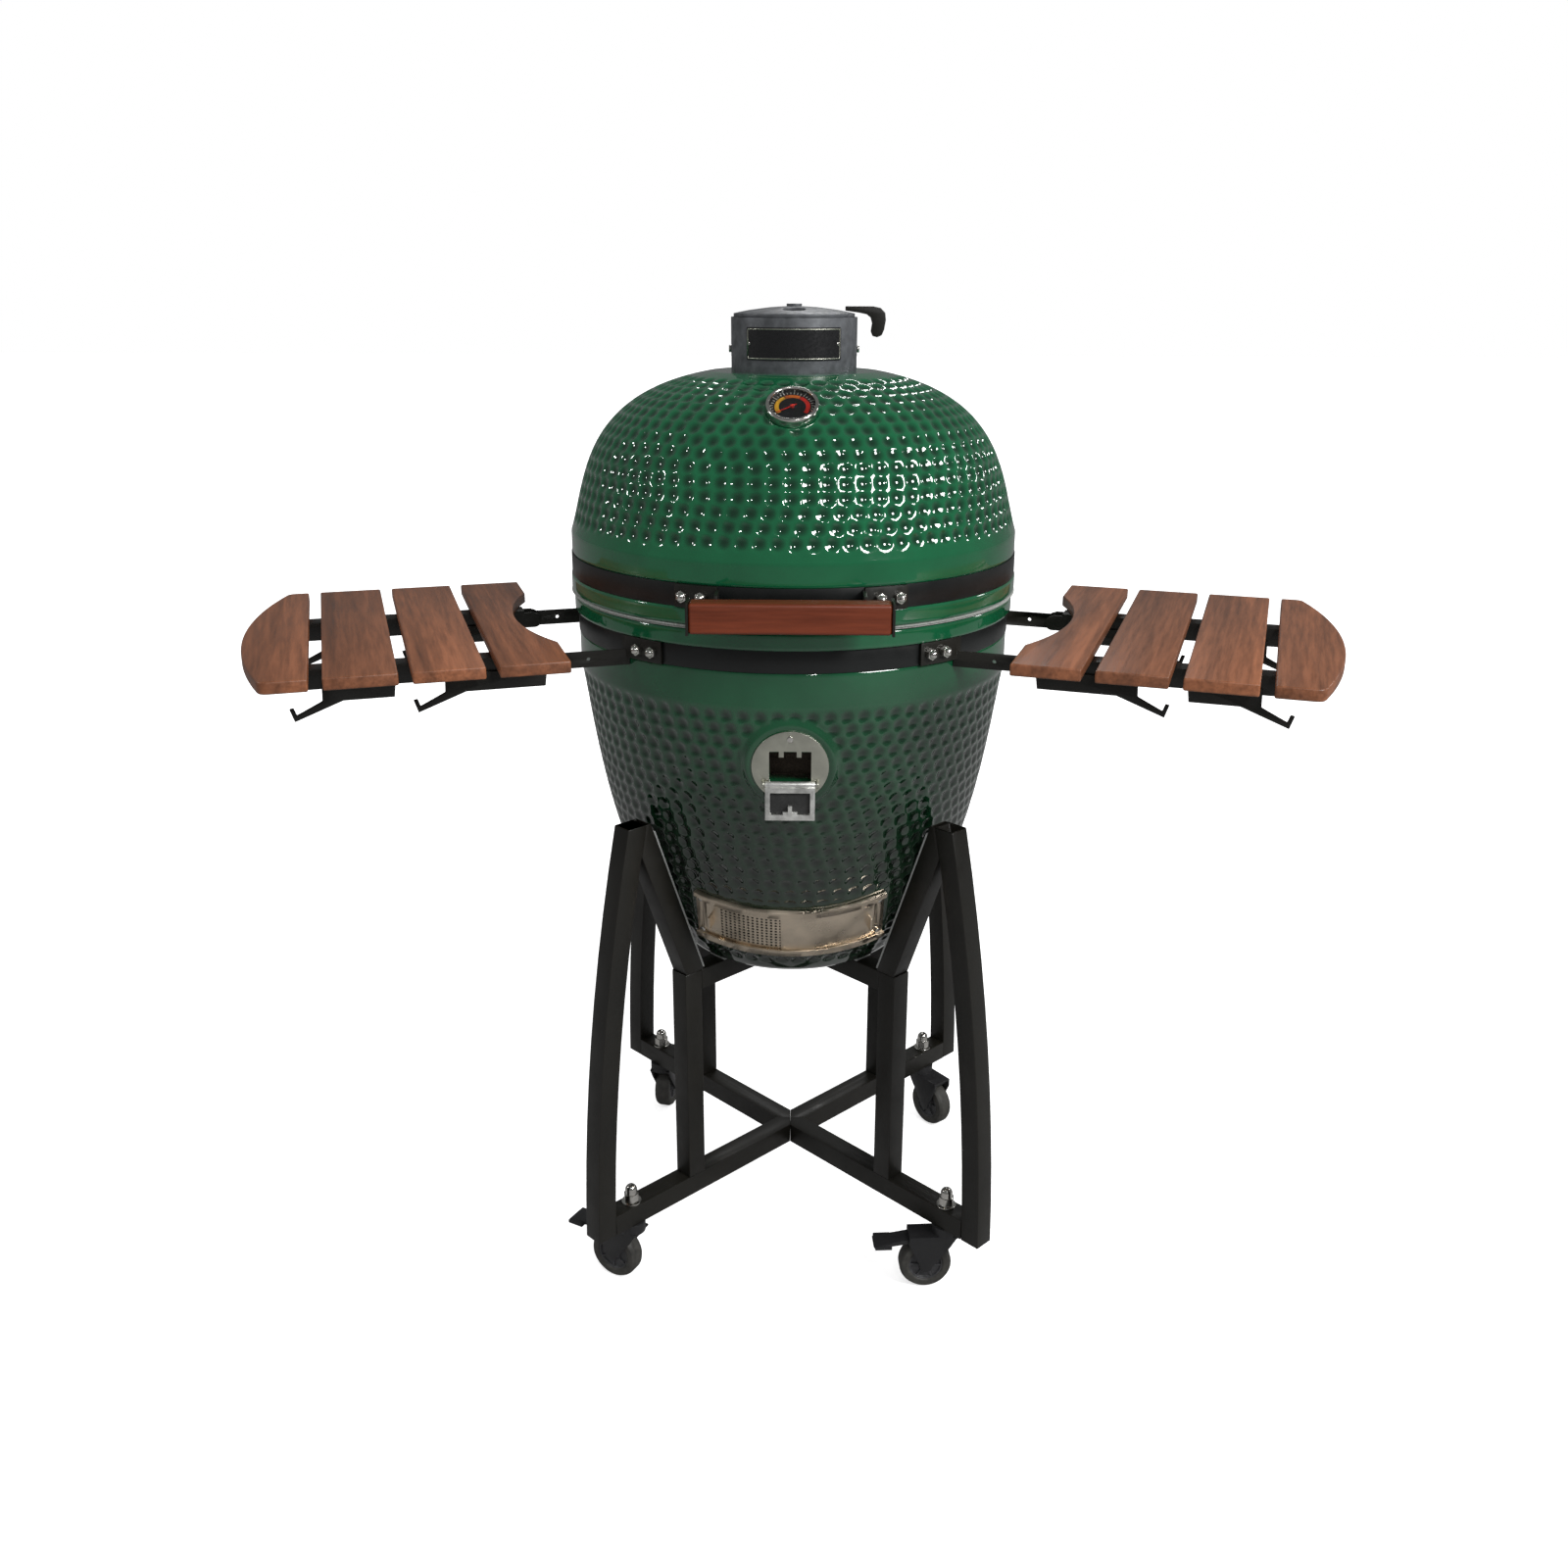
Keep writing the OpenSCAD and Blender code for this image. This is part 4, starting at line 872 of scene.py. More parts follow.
class VentSeat:
    """Where the ash vent sits: its strip is bent round a leaning cylinder, about the axis of its slides."""

    def __init__(self) -> None:
        """Measures the vent's frame about the axis of its screen's joint."""
        joint = next(j for j in frame["joints"] if j["name"] == "ash_screen_slide")
        self.at = np.array(joint["pos_m"]) - np.array((0, AXIS_Y, 0))
        self.up = np.array(joint["axis"], float)
        self.inward = np.array((0.0, self.up[2], -self.up[1]))
        points = np.array([v.co for v in frame["nodes"]["vent_frame"].data.vertices]) - np.array((0, AXIS_Y, 0))
        along, turn, off = self.local(points)
        self.low, self.high, self.half, self.r = along.min(), along.max(), np.abs(turn).max(), off.min()

    def local(self, points: np.ndarray) -> tuple[np.ndarray, np.ndarray, np.ndarray]:
        """Distance along the slides' axis, angle round it from the front, and distance from it."""
        away = points - self.at
        along = away @ self.up
        x, back = away[..., 0], away @ self.inward
        return along, np.arctan2(x, -back), np.hypot(x, back)

    def share(self, points: np.ndarray, grow: float, fade: float) -> np.ndarray:
        """1 within the vent's outline grown by a margin, fading to 0 outside it."""
        along, turn, _ = self.local(points)
        side = self.half + grow / self.r
        return (
            (1 - smoothstep(np.abs(turn), side, side + fade / self.r))
            * smoothstep(along, self.low - grow - fade, self.low - grow)
            * (1 - smoothstep(along, self.high + grow, self.high + grow + fade))
        )

    def press(self, points: np.ndarray) -> np.ndarray:
        """Presses the seat of the vent into the outside of the base."""
        along, turn, off = self.local(points)
        wanted = np.minimum(off, self.r - 0.4 * MM)
        made = off + (wanted - off) * self.share(points, 0.6 * MM, 3 * MM) * (points[..., 1] < 0)
        x, back = made * np.sin(turn), -made * np.cos(turn)
        sideways = x[..., None] * np.array((1.0, 0, 0))
        return self.at + along[..., None] * self.up + sideways + back[..., None] * self.inward


@dataclass
class Body:
    """The two glazed shells, sized from the CAD bands, gaskets and cap."""

    palette: Palette
    band_seat: float = 2 * MM
    lid_wall: float = 20 * MM
    base_wall: float = 22 * MM
    base_step: float = 6 * MM
    gauge_r: float = 33.5 * MM
    port_rim_r: float = 57 * MM
    port_clear_r: float = 66 * MM
    port_reach: float = 0.094
    grid_reach: float = 0.4

    def __post_init__(self) -> None:
        """Reads the heights and radii off the frame."""
        self.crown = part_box("cap_collar")[0][2]
        self.cap_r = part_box("cap_collar")[1][0]
        self.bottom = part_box("base_shell")[0][2]
        self.base_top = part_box("base_shell")[1][2]
        self.lid_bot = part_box("lid_shell")[0][2]
        self.up0, self.up1 = (c[2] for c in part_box("upper_band"))
        self.low0, self.low1 = (c[2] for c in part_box("lower_band"))
        self.shoulder = self.up1 + 28 * MM
        self.ring = self.low0 - 45 * MM
        self.base_r = BODY_R - self.base_step
        self.vent = VentSeat()
        self.measure_port()

    def measure_port(self) -> None:
        """Finds which way the port's plate faces, and the plane of its back."""
        mesh = frame["nodes"]["port_plate"].data
        face = max((q for q in mesh.polygons if abs(q.normal.y) > 0.9), key=lambda q: q.area)
        ahead = face.normal if face.normal.y < 0 else -face.normal
        self.port_ahead = np.array(ahead)
        points = np.array([v.co for v in mesh.vertices]) - np.array((0, AXIS_Y, 0))
        self.port_z = (points[:, 2].min() + points[:, 2].max()) / 2
        self.port_back = (points @ self.port_ahead).min()

    def lid_guide(self, inset: float) -> list[Point]:
        """Guide points of the dome."""
        return [
            (BODY_R - inset, self.shoulder),
            (BODY_R - 22 * MM - inset, self.shoulder + 66 * MM),
            (BODY_R - 17 * MM - 1.3 * inset, self.crown - 30 * MM - inset),
            (self.cap_r + 28 * MM - inset / 2, self.crown - inset),
        ]

    def base_guide(self, inset: float) -> list[Point]:
        """Guide points of the base."""
        return [
            (self.base_r - inset, self.ring),
            (self.base_r - 16 * MM - inset, self.ring - 94 * MM),
            (self.base_r - 31 * MM - inset, self.bottom + 118 * MM + inset),
            (self.base_r - 134 * MM - inset / 2, self.bottom + 8 * MM + inset),
        ]

    def near_gauge(self, points: np.ndarray) -> np.ndarray:
        """Distance of each point from the thermometer's axis."""
        at = middle("gauge_dial")
        ahead = np.array((0, -math.sin(GAUGE_LEAN), math.cos(GAUGE_LEAN)))
        away = points - np.array((at.x, at.y - AXIS_Y, at.z))
        along = away @ ahead
        return np.linalg.norm(away - along[..., None] * ahead, axis=-1)

    def flatten_gauge(self, points: np.ndarray) -> np.ndarray:
        """Sinks a flat seat for the thermometer into the dome."""
        at = middle("gauge_dial")
        ahead = np.array((0, -math.sin(GAUGE_LEAN), math.cos(GAUGE_LEAN)))
        seat = np.array((at.x, at.y - AXIS_Y, at.z)) - ahead * 5.2 * MM
        along = (points - seat) @ ahead
        share = 1 - smoothstep(self.near_gauge(points), self.gauge_r - 0.5 * MM, self.gauge_r + 1.2 * MM)
        drop = np.maximum(along, 0) * share * (np.abs(along) < 0.03)
        return points - drop[..., None] * ahead

    def off_port(self, points: np.ndarray) -> tuple[np.ndarray, np.ndarray]:
        """Distance of each point from the port's axis, and its height over the plate's back."""
        over = points @ self.port_ahead - self.port_back
        centre = np.array((0.0, 0.0, self.port_z))
        centre[1] = (self.port_back - centre @ self.port_ahead) / self.port_ahead[1]
        away = points - centre
        return np.linalg.norm(away - (away @ self.port_ahead)[..., None] * self.port_ahead, axis=-1), over

    def raise_port(self, points: np.ndarray) -> np.ndarray:
        """Raises the round ceramic rim that the port's plate sits on."""
        off, over = self.off_port(points)
        near = (np.abs(over) < 0.04) & (points[..., 1] < 0)
        share = (1 - smoothstep(off, self.port_rim_r - 2 * MM, self.port_rim_r + 5 * MM)) * near
        lip = 0.9 * MM * (smoothstep(off, self.port_rim_r - 8 * MM, self.port_rim_r - 5 * MM) - 1) + 0.85 * MM
        return points + ((lip - over) * share)[..., None] * self.port_ahead

    def build(self) -> None:
        """Builds the lid and base shells and shows them for the CAD solids."""
        seat, wall = self.band_seat, self.lid_wall
        lid_out = rounded(
            [
                (BODY_R - wall, self.lid_bot, 0),
                (BODY_R + 2 * MM, self.lid_bot, 4 * MM),
                (BODY_R + 2 * MM, self.up0, 2 * MM),
                (BODY_R - seat, self.up0, 1 * MM),
                (BODY_R - seat, self.up1, 1 * MM),
                (BODY_R, self.up1, 2 * MM),
                (BODY_R, self.shoulder, 0),
            ]
        )[1:]
        dome = cubic(self.lid_guide(0), 60)
        inner = [(r, z) for r, z in cubic(self.lid_guide(wall), 16)][::-1]
        chimney = [(self.cap_r - 7 * MM, self.crown), (self.cap_r - 7 * MM, self.crown + 12 * MM)]
        chimney += [(58 * MM, self.crown + 12 * MM), (58 * MM, self.crown - wall)]
        lid = Ceramic(
            "lid_glazed",
            "lid_shell",
            lid_out + dome[1:] + [(self.cap_r + 4 * MM, self.crown)],
            chimney + inner + [(BODY_R - wall, self.lid_bot)],
            self.shoulder + 14 * MM,
            self.crown - 4 * MM,
            quiet=[lambda p: smoothstep(self.near_gauge(p), self.gauge_r, self.gauge_r + 3 * MM)],
            shapers=[self.flatten_gauge],
        )
        new_piece(lid.name, lid.build(), "lid", self.palette["glaze"], [lid.node])
        base_in = self.base_r - self.base_wall
        base_out = rounded(
            [
                (base_in, self.base_top, 0),
                (BODY_R - 1 * MM, self.base_top, 4 * MM),
                (BODY_R - 1 * MM, self.low1, 2 * MM),
                (self.base_r - seat, self.low1, 1 * MM),
                (self.base_r - seat, self.low0, 1 * MM),
                (self.base_r, self.low0, 2 * MM),
                (self.base_r, self.ring, 0),
            ]
        )[1:]
        egg = cubic(self.base_guide(0), 80)
        floor_r = self.base_r - 146 * MM
        front = -TURN / 4
        inner = cubic(self.base_guide(self.base_wall), 40)[::-1]
        base = Ceramic(
            "base_glazed",
            "base_shell",
            base_out + egg[1:] + [(floor_r, self.bottom)],
            [(0, self.bottom), (0, self.bottom + self.base_wall)] + inner + [(base_in, self.base_top)],
            self.ring - 4 * MM,
            self.bottom + 10 * MM,
            quiet=[
                lambda p: smoothstep(self.off_port(p)[0], self.port_clear_r - 4 * MM, self.port_clear_r),
                lambda p: 1 - self.vent.share(p, 5 * MM, 6 * MM),
            ],
            shapers=[self.raise_port, self.vent.press],
            windows=[
                (front - self.port_reach, front + self.port_reach, self.port_z - 22 * MM, self.port_z + 21 * MM),
                (front - self.grid_reach, front + self.grid_reach, self.bottom + 70 * MM, self.bottom + 106 * MM),
            ],
        )
        new_piece(base.name, base.build(), "base", self.palette["glaze"], [base.node])


# ---------- lid fittings ----------


@dataclass
class Gauge:
    """The thermometer on the dome."""

    palette: Palette

    def build(self) -> None:
        """Builds case, dial, marks, needle and glass."""
        at = middle("gauge_dial")
        ahead = Vector((0, -math.sin(GAUGE_LEAN), math.cos(GAUGE_LEAN)))
        self.to_frame = Matrix.Translation(at - ahead * 0.0045) @ Matrix.Rotation(GAUGE_LEAN, 4, "X")
        self.r = (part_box("gauge_case")[1][0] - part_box("gauge_case")[0][0]) / 2
        self.case()
        self.dial()
        self.glass()

    def put(self, name: str, mesh: bpy.types.Mesh, finish: str, nodes: Sequence[str] = ()) -> None:
        """Adds one piece drawn with the dial facing +Z."""
        new_piece(name, transformed(mesh, self.to_frame), "lid", self.palette[finish], nodes)

    def case(self) -> None:
        """The rolled steel bezel with its stem."""
        r = self.r
        outline = rounded(
            [
                (r - 4 * MM, 0, 0),
                (r, 0, 1 * MM),
                (r, 11.5 * MM, 3.2 * MM),
                (r - 4.6 * MM, 12 * MM, 2.2 * MM),
                (r - 5 * MM, 7 * MM, 0),
                (r - 4 * MM, 5 * MM, 0),
            ],
            6,
        )
        rim = lathe("bezel", outline, 96)
        back = lathe("back", [(0, 0), (r - 3.8 * MM, 0), (r - 3.8 * MM, 3.8 * MM), (0, 3.8 * MM)], 64, False)
        point = [(0, -70 * MM), (2.2 * MM, -69 * MM), (3 * MM, -66 * MM), (3 * MM, 0.5 * MM), (0, 0.5 * MM)]
        stem = lathe("stem", point, 24, False)
        case = sharp_edges(joined("gauge_bezel", [rim, back, stem]))
        self.put("gauge_bezel", case, "zinc", ["gauge_case"])

    def dial(self) -> None:
        """The black dial with its coloured arcs, ticks and needle."""
        r = self.r - 3.2 * MM
        face = lathe("face", [(0, 4 * MM), (r, 4 * MM), (r, 5 * MM), (0, 5 * MM)], 64, False)
        self.put("gauge_face", sharp_edges(face), "face", ["gauge_dial"])
        for name, a0, a1, finish in (
            ("gauge_arc_low", 120, 215, "yellow"),
            ("gauge_arc_mid", 62, 117, "orange"),
            ("gauge_arc_high", -35, 59, "red"),
        ):
            self.put(name, self.arc(a0, a1, 0.56 * r, 0.74 * r), finish)
        ticks = [self.tick(a, 0.8 * r, (0.96 if k % 3 == 0 else 0.89) * r) for k, a in enumerate(range(-35, 216, 10))]
        self.put("gauge_ticks", joined("ticks", ticks), "white")
        needle = self.tick(212, -6 * MM, 0.78 * r, 0.9 * MM, 6.6 * MM)
        boss = [(0, 5 * MM), (2.6 * MM, 5 * MM), (2.6 * MM, 7 * MM), (1.6 * MM, 7.6 * MM), (0, 7.8 * MM)]
        hub = lathe("hub", boss, 24, False)
        self.put("gauge_pointer", sharp_edges(joined("needle", [needle, hub])), "red", ["gauge_needle"])

    def arc(self, a0: float, a1: float, r0: float, r1: float) -> bpy.types.Mesh:
        """A flat printed arc between two angles in degrees."""
        points, faces = [], []
        steps = 24
        for i in range(steps + 1):
            a = math.radians(a0 + (a1 - a0) * i / steps)
            for r, z in ((r0, 4.9 * MM), (r1, 4.9 * MM), (r1, 5.15 * MM), (r0, 5.15 * MM)):
                points.append((r * math.cos(a), r * math.sin(a), z))
        for i in range(steps):
            for k in range(4):
                n = (k + 1) % 4
                faces.append((4 * i + k, 4 * i + n, 4 * i + 4 + n, 4 * i + 4 + k))
        faces += [(0, 1, 2, 3), tuple(4 * steps + k for k in range(4))]
        return mesh_from("arc", points, faces, False)

    def tick(
        self, angle: float, r0: float, r1: float, width: float = 0.5 * MM, z: float = 5.2 * MM
    ) -> bpy.types.Mesh:
        """A thin bar pointing outwards at an angle in degrees, tapering to its tip."""
        half, tip = width, width * 0.6
        points = []
        for top in (-0.3 * MM, 0.25 * MM):
            points += [(r0, -half, z + top), (r1, -tip, z + top), (r1, tip, z + top), (r0, half, z + top)]
        faces = [(0, 1, 2, 3), (4, 5, 6, 7), (0, 1, 5, 4), (1, 2, 6, 5), (2, 3, 7, 6), (3, 0, 4, 7)]
        return transformed(mesh_from("tick", points, faces, False), Matrix.Rotation(math.radians(angle), 4, "Z"))

    def glass(self) -> None:
        """The slightly domed cover glass."""
        r = self.r - 4 * MM
        top = [(r * i / 8, 9 * MM + 1.8 * MM * (1 - (i / 8) ** 2)) for i in range(9)]
        under = [(p[0], p[1] - 1 * MM) for p in reversed(top)]
        mesh = lathe("glass", [(max(p[0], 0.0), p[1]) for p in top + under], 64, False)
        self.put("gauge_cover", mesh, "glass", ["gauge_glass"])


@dataclass
class Cap:
    """The cast cap with its plain badge, side screws, damper disc and lever."""

    palette: Palette

    def build(self) -> None:
        """Builds the collar, badge and disc."""
        self.low, self.high = (Vector(c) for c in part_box("cap_collar"))
        self.r = self.high.x
        self.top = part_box("damper_disc")[0][2] - 0.3 * MM
        self.to_frame = Matrix.Translation((0, AXIS_Y, 0))
        soft_copy("cap_collar", "lid", self.palette["cap"], 1.0 * MM, 3)
        soft_copy("damper_disc", "damper", self.palette["cap"], 0.8 * MM, 2)
        soft_copy("damper_lever", "damper", self.palette["black"], 0.9 * MM, 3)
        soft_copy("cap_screws", "lid", self.palette["zinc"], 0.8 * MM, 3)
        self.beads()
        self.badge()

    def beads(self) -> None:
        """Cast beads round the top and foot of the collar."""
        for name, z in (("cap_bead_top", self.top - 3 * MM), ("cap_bead_foot", self.low.z + 3 * MM)):
            round_it = np.linspace(0, TURN, 13)[:-1]
            steps = [(self.r - 1.4 * MM + 1.3 * MM * math.cos(a), z + 2.4 * MM * math.sin(a)) for a in round_it]
            mesh = transformed(lathe(name, steps, 96), self.to_frame)
            new_piece(name, mesh, "lid", self.palette["cap"])

    def badge(self) -> None:
        """A plain black plate with a thin silver border and two rivets."""
        low, high = (Vector(c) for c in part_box("badge_plate"))
        half = math.asin(min(1.0, (high.x - low.x) / 2 / (self.r + 1.5 * MM)))
        plate = self.bent(half, low.z, high.z, self.r, self.r + 1.0 * MM, 2.5 * MM)
        new_piece("badge_face", plate, "lid", self.palette["badge"], ["badge_plate"])
        self.border(half, low.z, high.z)
        for side in (-1, 1):
            a = side * (half - 0.055) - TURN / 4
            crown = [(0, 0), (2.4 * MM, 0), (2.2 * MM, 0.4 * MM), (1.2 * MM, 0.5 * MM), (0, 0.5 * MM)]
            head = lathe("rivet", crown, 20, False)
            place = (
                Matrix.Translation((0, AXIS_Y, (low.z + high.z) / 2))
                @ Matrix.Rotation(a, 4, "Z")
                @ Matrix.Translation((self.r + 1.0 * MM, 0, 0))
                @ Matrix.Rotation(TURN / 4, 4, "Y")
            )
            name = "badge_rivet_left" if side < 0 else "badge_rivet_right"
            new_piece(name, transformed(head, place), "lid", self.palette["zinc"])

    def bent(self, half: float, z0: float, z1: float, r0: float, r1: float, corner: float) -> bpy.types.Mesh:
        """A plate bent round the collar with round corners."""
        width = half * self.r
        flat = rounded([(-width, z0, corner), (width, z0, corner), (width, z1, corner), (-width, z1, corner)], 5)
        flat = self.dense(flat, 3 * MM)
        points = [(r * math.sin(s / self.r), AXIS_Y - r * math.cos(s / self.r), z) for r in (r0, r1) for s, z in flat]
        n = len(flat)
        b = bmesh.new()
        verts = [b.verts.new(p) for p in points]
        for i in range(n):
            b.faces.new((verts[i], verts[(i + 1) % n], verts[n + (i + 1) % n], verts[n + i]))
        for start in (0, n):
            ring = verts[start : start + n]
            by_x = sorted(ring, key=lambda v: (round(v.co.x, 5), v.co.z))
            columns: dict[float, list] = {}
            for v in by_x:
                columns.setdefault(round(v.co.x, 4), []).append(v)
            keys = sorted(columns)
            for a, c in zip(keys, keys[1:]):
                left, right = columns[a], columns[c]
                corners = [left[0], right[0], right[-1], left[-1]]
                corners = [v for k, v in enumerate(corners) if v is not corners[k - 1]]
                if len(corners) > 2:
                    b.faces.new(corners)
        bmesh.ops.recalc_face_normals(b, faces=b.faces[:])
        mesh = bpy.data.meshes.new("bent")
        b.to_mesh(mesh)
        b.free()
        return sharp_edges(mesh, 50)

    def dense(self, flat: list[Point], step: float) -> list[Point]:
        """Adds points along the long straight sides so that the plate bends smoothly."""
        made = []
        for (x0, z0), (x1, z1) in zip(flat, flat[1:] + flat[:1]):
            count = max(1, round(abs(x1 - x0) / step))
            made += [(x0 + (x1 - x0) * k / count, z0 + (z1 - z0) * k / count) for k in range(count)]
        return made

    def border(self, half: float, z0: float, z1: float) -> None:
        """The thin silver line just inside the badge's edge."""
        inset = 2.2 * MM
        width = half * self.r - inset
        low, high, bend = z0 + inset, z1 - inset, 2 * MM
        flat = rounded([(-width, low, bend), (width, low, bend), (width, high, bend), (-width, high, bend)], 5)
        flat = self.dense(flat, 3 * MM)
        r = self.r + 1.0 * MM
        path = [Vector((r * math.sin(s / self.r), AXIS_Y - r * math.cos(s / self.r), z)) for s, z in flat]
        mesh = tube_mesh("badge_border", path + path[:1], 0.8 * MM, 8)
        new_piece("badge_border", mesh, "lid", self.palette["plate"])


@dataclass
class Handle:
    """The wooden bar and its brackets."""

    palette: Palette

    def build(self) -> None:
        """Rounds the bar's edges and dresses the brackets and nuts."""
        soft_copy("handle_grip", "lid", self.palette["grip"], 4.0 * MM, 5)
        soft_copy("handle_brackets", "lid", self.palette["black"], 0.8 * MM)
        soft_copy("lid_nuts", "lid", self.palette["zinc"], 0.7 * MM)


@dataclass
class Bands:
    """Steel bands, gaskets, brackets and the hinge."""

    palette: Palette
    coil_turns: int = 7
    wire_r: float = 2.1 * MM
    braids: int = 420

    def build(self) -> None:
        """Builds everything that goes round the split."""
        for node, body in (("lower_band", "base"), ("upper_band", "lid")):
            soft_copy(node, body, self.palette["band"], 0.8 * MM)
        for node, body in (("shelf_brackets", "base"), ("hinge_base", "base"), ("hinge_arm", "lid")):
            soft_copy(node, body, self.palette["black"], 0.8 * MM)
        for node in ("band_nuts", "hinge_pin"):
            soft_copy(node, "base", self.palette["zinc"], 0.7 * MM)
        self.gasket("base_gasket", "base")
        self.gasket("lid_gasket", "lid")
        self.springs()

    def gasket(self, node: str, body: str) -> None:
        """A felt ring with a softly bulging, slightly uneven edge."""
        low, high = (Vector(c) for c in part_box(node))
        outer, inner, mid = high.x, high.x - 22 * MM, (low.z + high.z) / 2
        half = (high.z - low.z) / 2
        outline = [(inner, low.z), (outer - 1.6 * MM, low.z), (outer - 0.5 * MM, mid - half * 0.6), (outer, mid)]
        outline += [(outer - 0.5 * MM, mid + half * 0.6), (outer - 1.6 * MM, high.z), (inner, high.z)]
        mesh = transformed(lathe(node, outline, 4 * self.braids), Matrix.Translation((0, AXIS_Y, 0)))
        for v in mesh.vertices:
            a = math.atan2(v.co.y - AXIS_Y, v.co.x)
            braid = 1 - 0.0009 * (1 - math.cos(self.braids * a)) - 0.0005 * (1 + math.sin(37 * a))
            v.co.x, v.co.y = v.co.x * braid, AXIS_Y + (v.co.y - AXIS_Y) * braid
        new_piece(f"{node}_felt", mesh, body, self.palette["gasket"], [node])

    def springs(self) -> None:
        """The two torsion springs, coiled round the hinge pin with their legs."""
        low, high = (Vector(c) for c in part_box("hinge_springs"))
        mid = (low + high) / 2
        coil_r = (high.z - low.z) / 2 - self.wire_r
        coils = []
        for side in (-1, 1):
            x0, x1 = 4 * MM + self.wire_r, high.x - self.wire_r
            steps = self.coil_turns * 24
            path = []
            for i in range(steps + 1):
                a = TURN * self.coil_turns * i / steps - TURN / 4
                x = side * (x0 + (x1 - x0) * i / steps)
                path.append(Vector((x, mid.y + coil_r * math.sin(a), mid.z + coil_r * math.cos(a))))
            leg = path[0] + Vector((0, -8 * MM, -11 * MM))
            knee = (leg + path[0]) / 2 + Vector((0, 1 * MM, 0))
            coils.append(tube_mesh("coil", [leg, knee, *path], self.wire_r, 10))
        mesh = joined("coils", coils)
        new_piece("hinge_coils", mesh, "base", self.palette["spring"], ["hinge_springs"])


# ---------- vents, inside, stand, shelves, casters ----------


@dataclass
class Vents:
    """The draught port and the sliding ash vent."""

    palette: Palette

    def build(self) -> None:
        """Builds the port's plate, flap and screw, and the vent's frame and slides."""
        p = self.palette
        soft_copy("port_plate", "base", p["plate"], 0.5 * MM)
        soft_copy("port_flap", "flap", p["flap"], 1.2 * MM, 3)
        soft_copy("port_screw", "base", p["zinc"], 0.7 * MM, 3)
        soft_copy("vent_frame", "base", p["vent"], 0.8 * MM, 3)
        soft_copy("vent_screws", "base", p["zinc"], 0.8 * MM, 3)
        soft_copy("vent_door", "ash_door", p["vent"], 0.4 * MM)
        dress("vent_screen", p["vent"])
        self.port_shadow_sheet()

    def port_shadow_sheet(self) -> None:
        """A dark sheet in the flap's tray: painted shadow for the dark inside of the port."""
        low, high = (Vector(c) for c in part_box("port_flap"))
        x = 24.6 * MM
        y0, y1 = low.y + 5.6 * MM, low.y + 6.6 * MM
        z0, z1 = low.z + 7.6 * MM, high.z - 14.5 * MM
        outline = rounded([(-x, z0, 3 * MM), (x, z0, 3 * MM), (x, z1, 3 * MM), (-x, z1, 3 * MM)], 4)
        n = len(outline)
        points = [(a, y, c) for y in (y0, y1) for a, c in outline]
        faces = [(i, (i + 1) % n, n + (i + 1) % n, n + i) for i in range(n)]
        faces += [tuple(range(n)), tuple(range(n, 2 * n))]
        mesh = sharp_edges(mesh_from("port_shadow_sheet", points, faces))
        new_piece("flap_shadow_sheet", mesh, "flap", self.palette["port_shadow_sheet"])


@dataclass
class Inside:
    """Fire bowl, ring and grates."""

    palette: Palette

    def build(self) -> None:
        """Dresses the pieces inside the base."""
        for node in ("fire_bowl", "fire_ring"):
            soft_copy(node, "base", self.palette["clay"], 2.5 * MM, 3)
        soft_copy("charcoal_grate", "base", self.palette["iron"], 1.2 * MM)
        dress("cooking_grid", self.palette["plate"])


@dataclass
class Stand:
    """The welded square-tube stand with its felt."""

    palette: Palette
    corner: float = 2.2 * MM

    def build(self) -> None:
        """Rounds the tubes' corners and adds the felt and the stems' nuts."""
        for part in ("cross_tubes", "posts", "outer_legs", "saddle_tubes", "upper_cross"):
            soft_copy(f"stand_{part}", "base", self.palette["black"], self.corner, 3)
        soft_copy("felt_strips", "base", self.palette["felt"], 0.9 * MM)
        soft_copy("caster_stems", "base", self.palette["zinc"], 0.8 * MM)
        soft_copy("stem_nuts", "base", self.palette["zinc"], 0.9 * MM)


@dataclass
class Shelf:
    """One folding side shelf: oiled slats, channel arms and hooks."""

    palette: Palette
    side: str
    tones: Sequence[float] = (1.0, 0.82, 1.12, 0.92)
    colour: Colour = (0.2, 0.07, 0.029)
    turn: float = math.radians(18)

    def build(self) -> None:
        """Builds the slats one by one and dresses the metalwork."""
        body = f"shelf_{self.side}"
        turn = self.turn if self.side == "right" else -self.turn
        for k, mesh in enumerate(islands(f"{body}_slats")):
            offset = 4.0 * k + (self.side == "left")
            wood = Wood(f"{body}_wood_{k}", shade(self.colour, self.tones[k]), turn, Along.Y, offset)
            made = softened(mesh, 2.2 * MM, 3)
            nodes = [f"{body}_slats"] if k == 0 else []
            new_piece(f"{body}_slat_{k + 1}", made, body, wood.make(), nodes)
        soft_copy(f"{body}_arms", body, self.palette["black"], 0.8 * MM)
        soft_copy(f"{body}_hooks", body, self.palette["black"], 0.8 * MM)


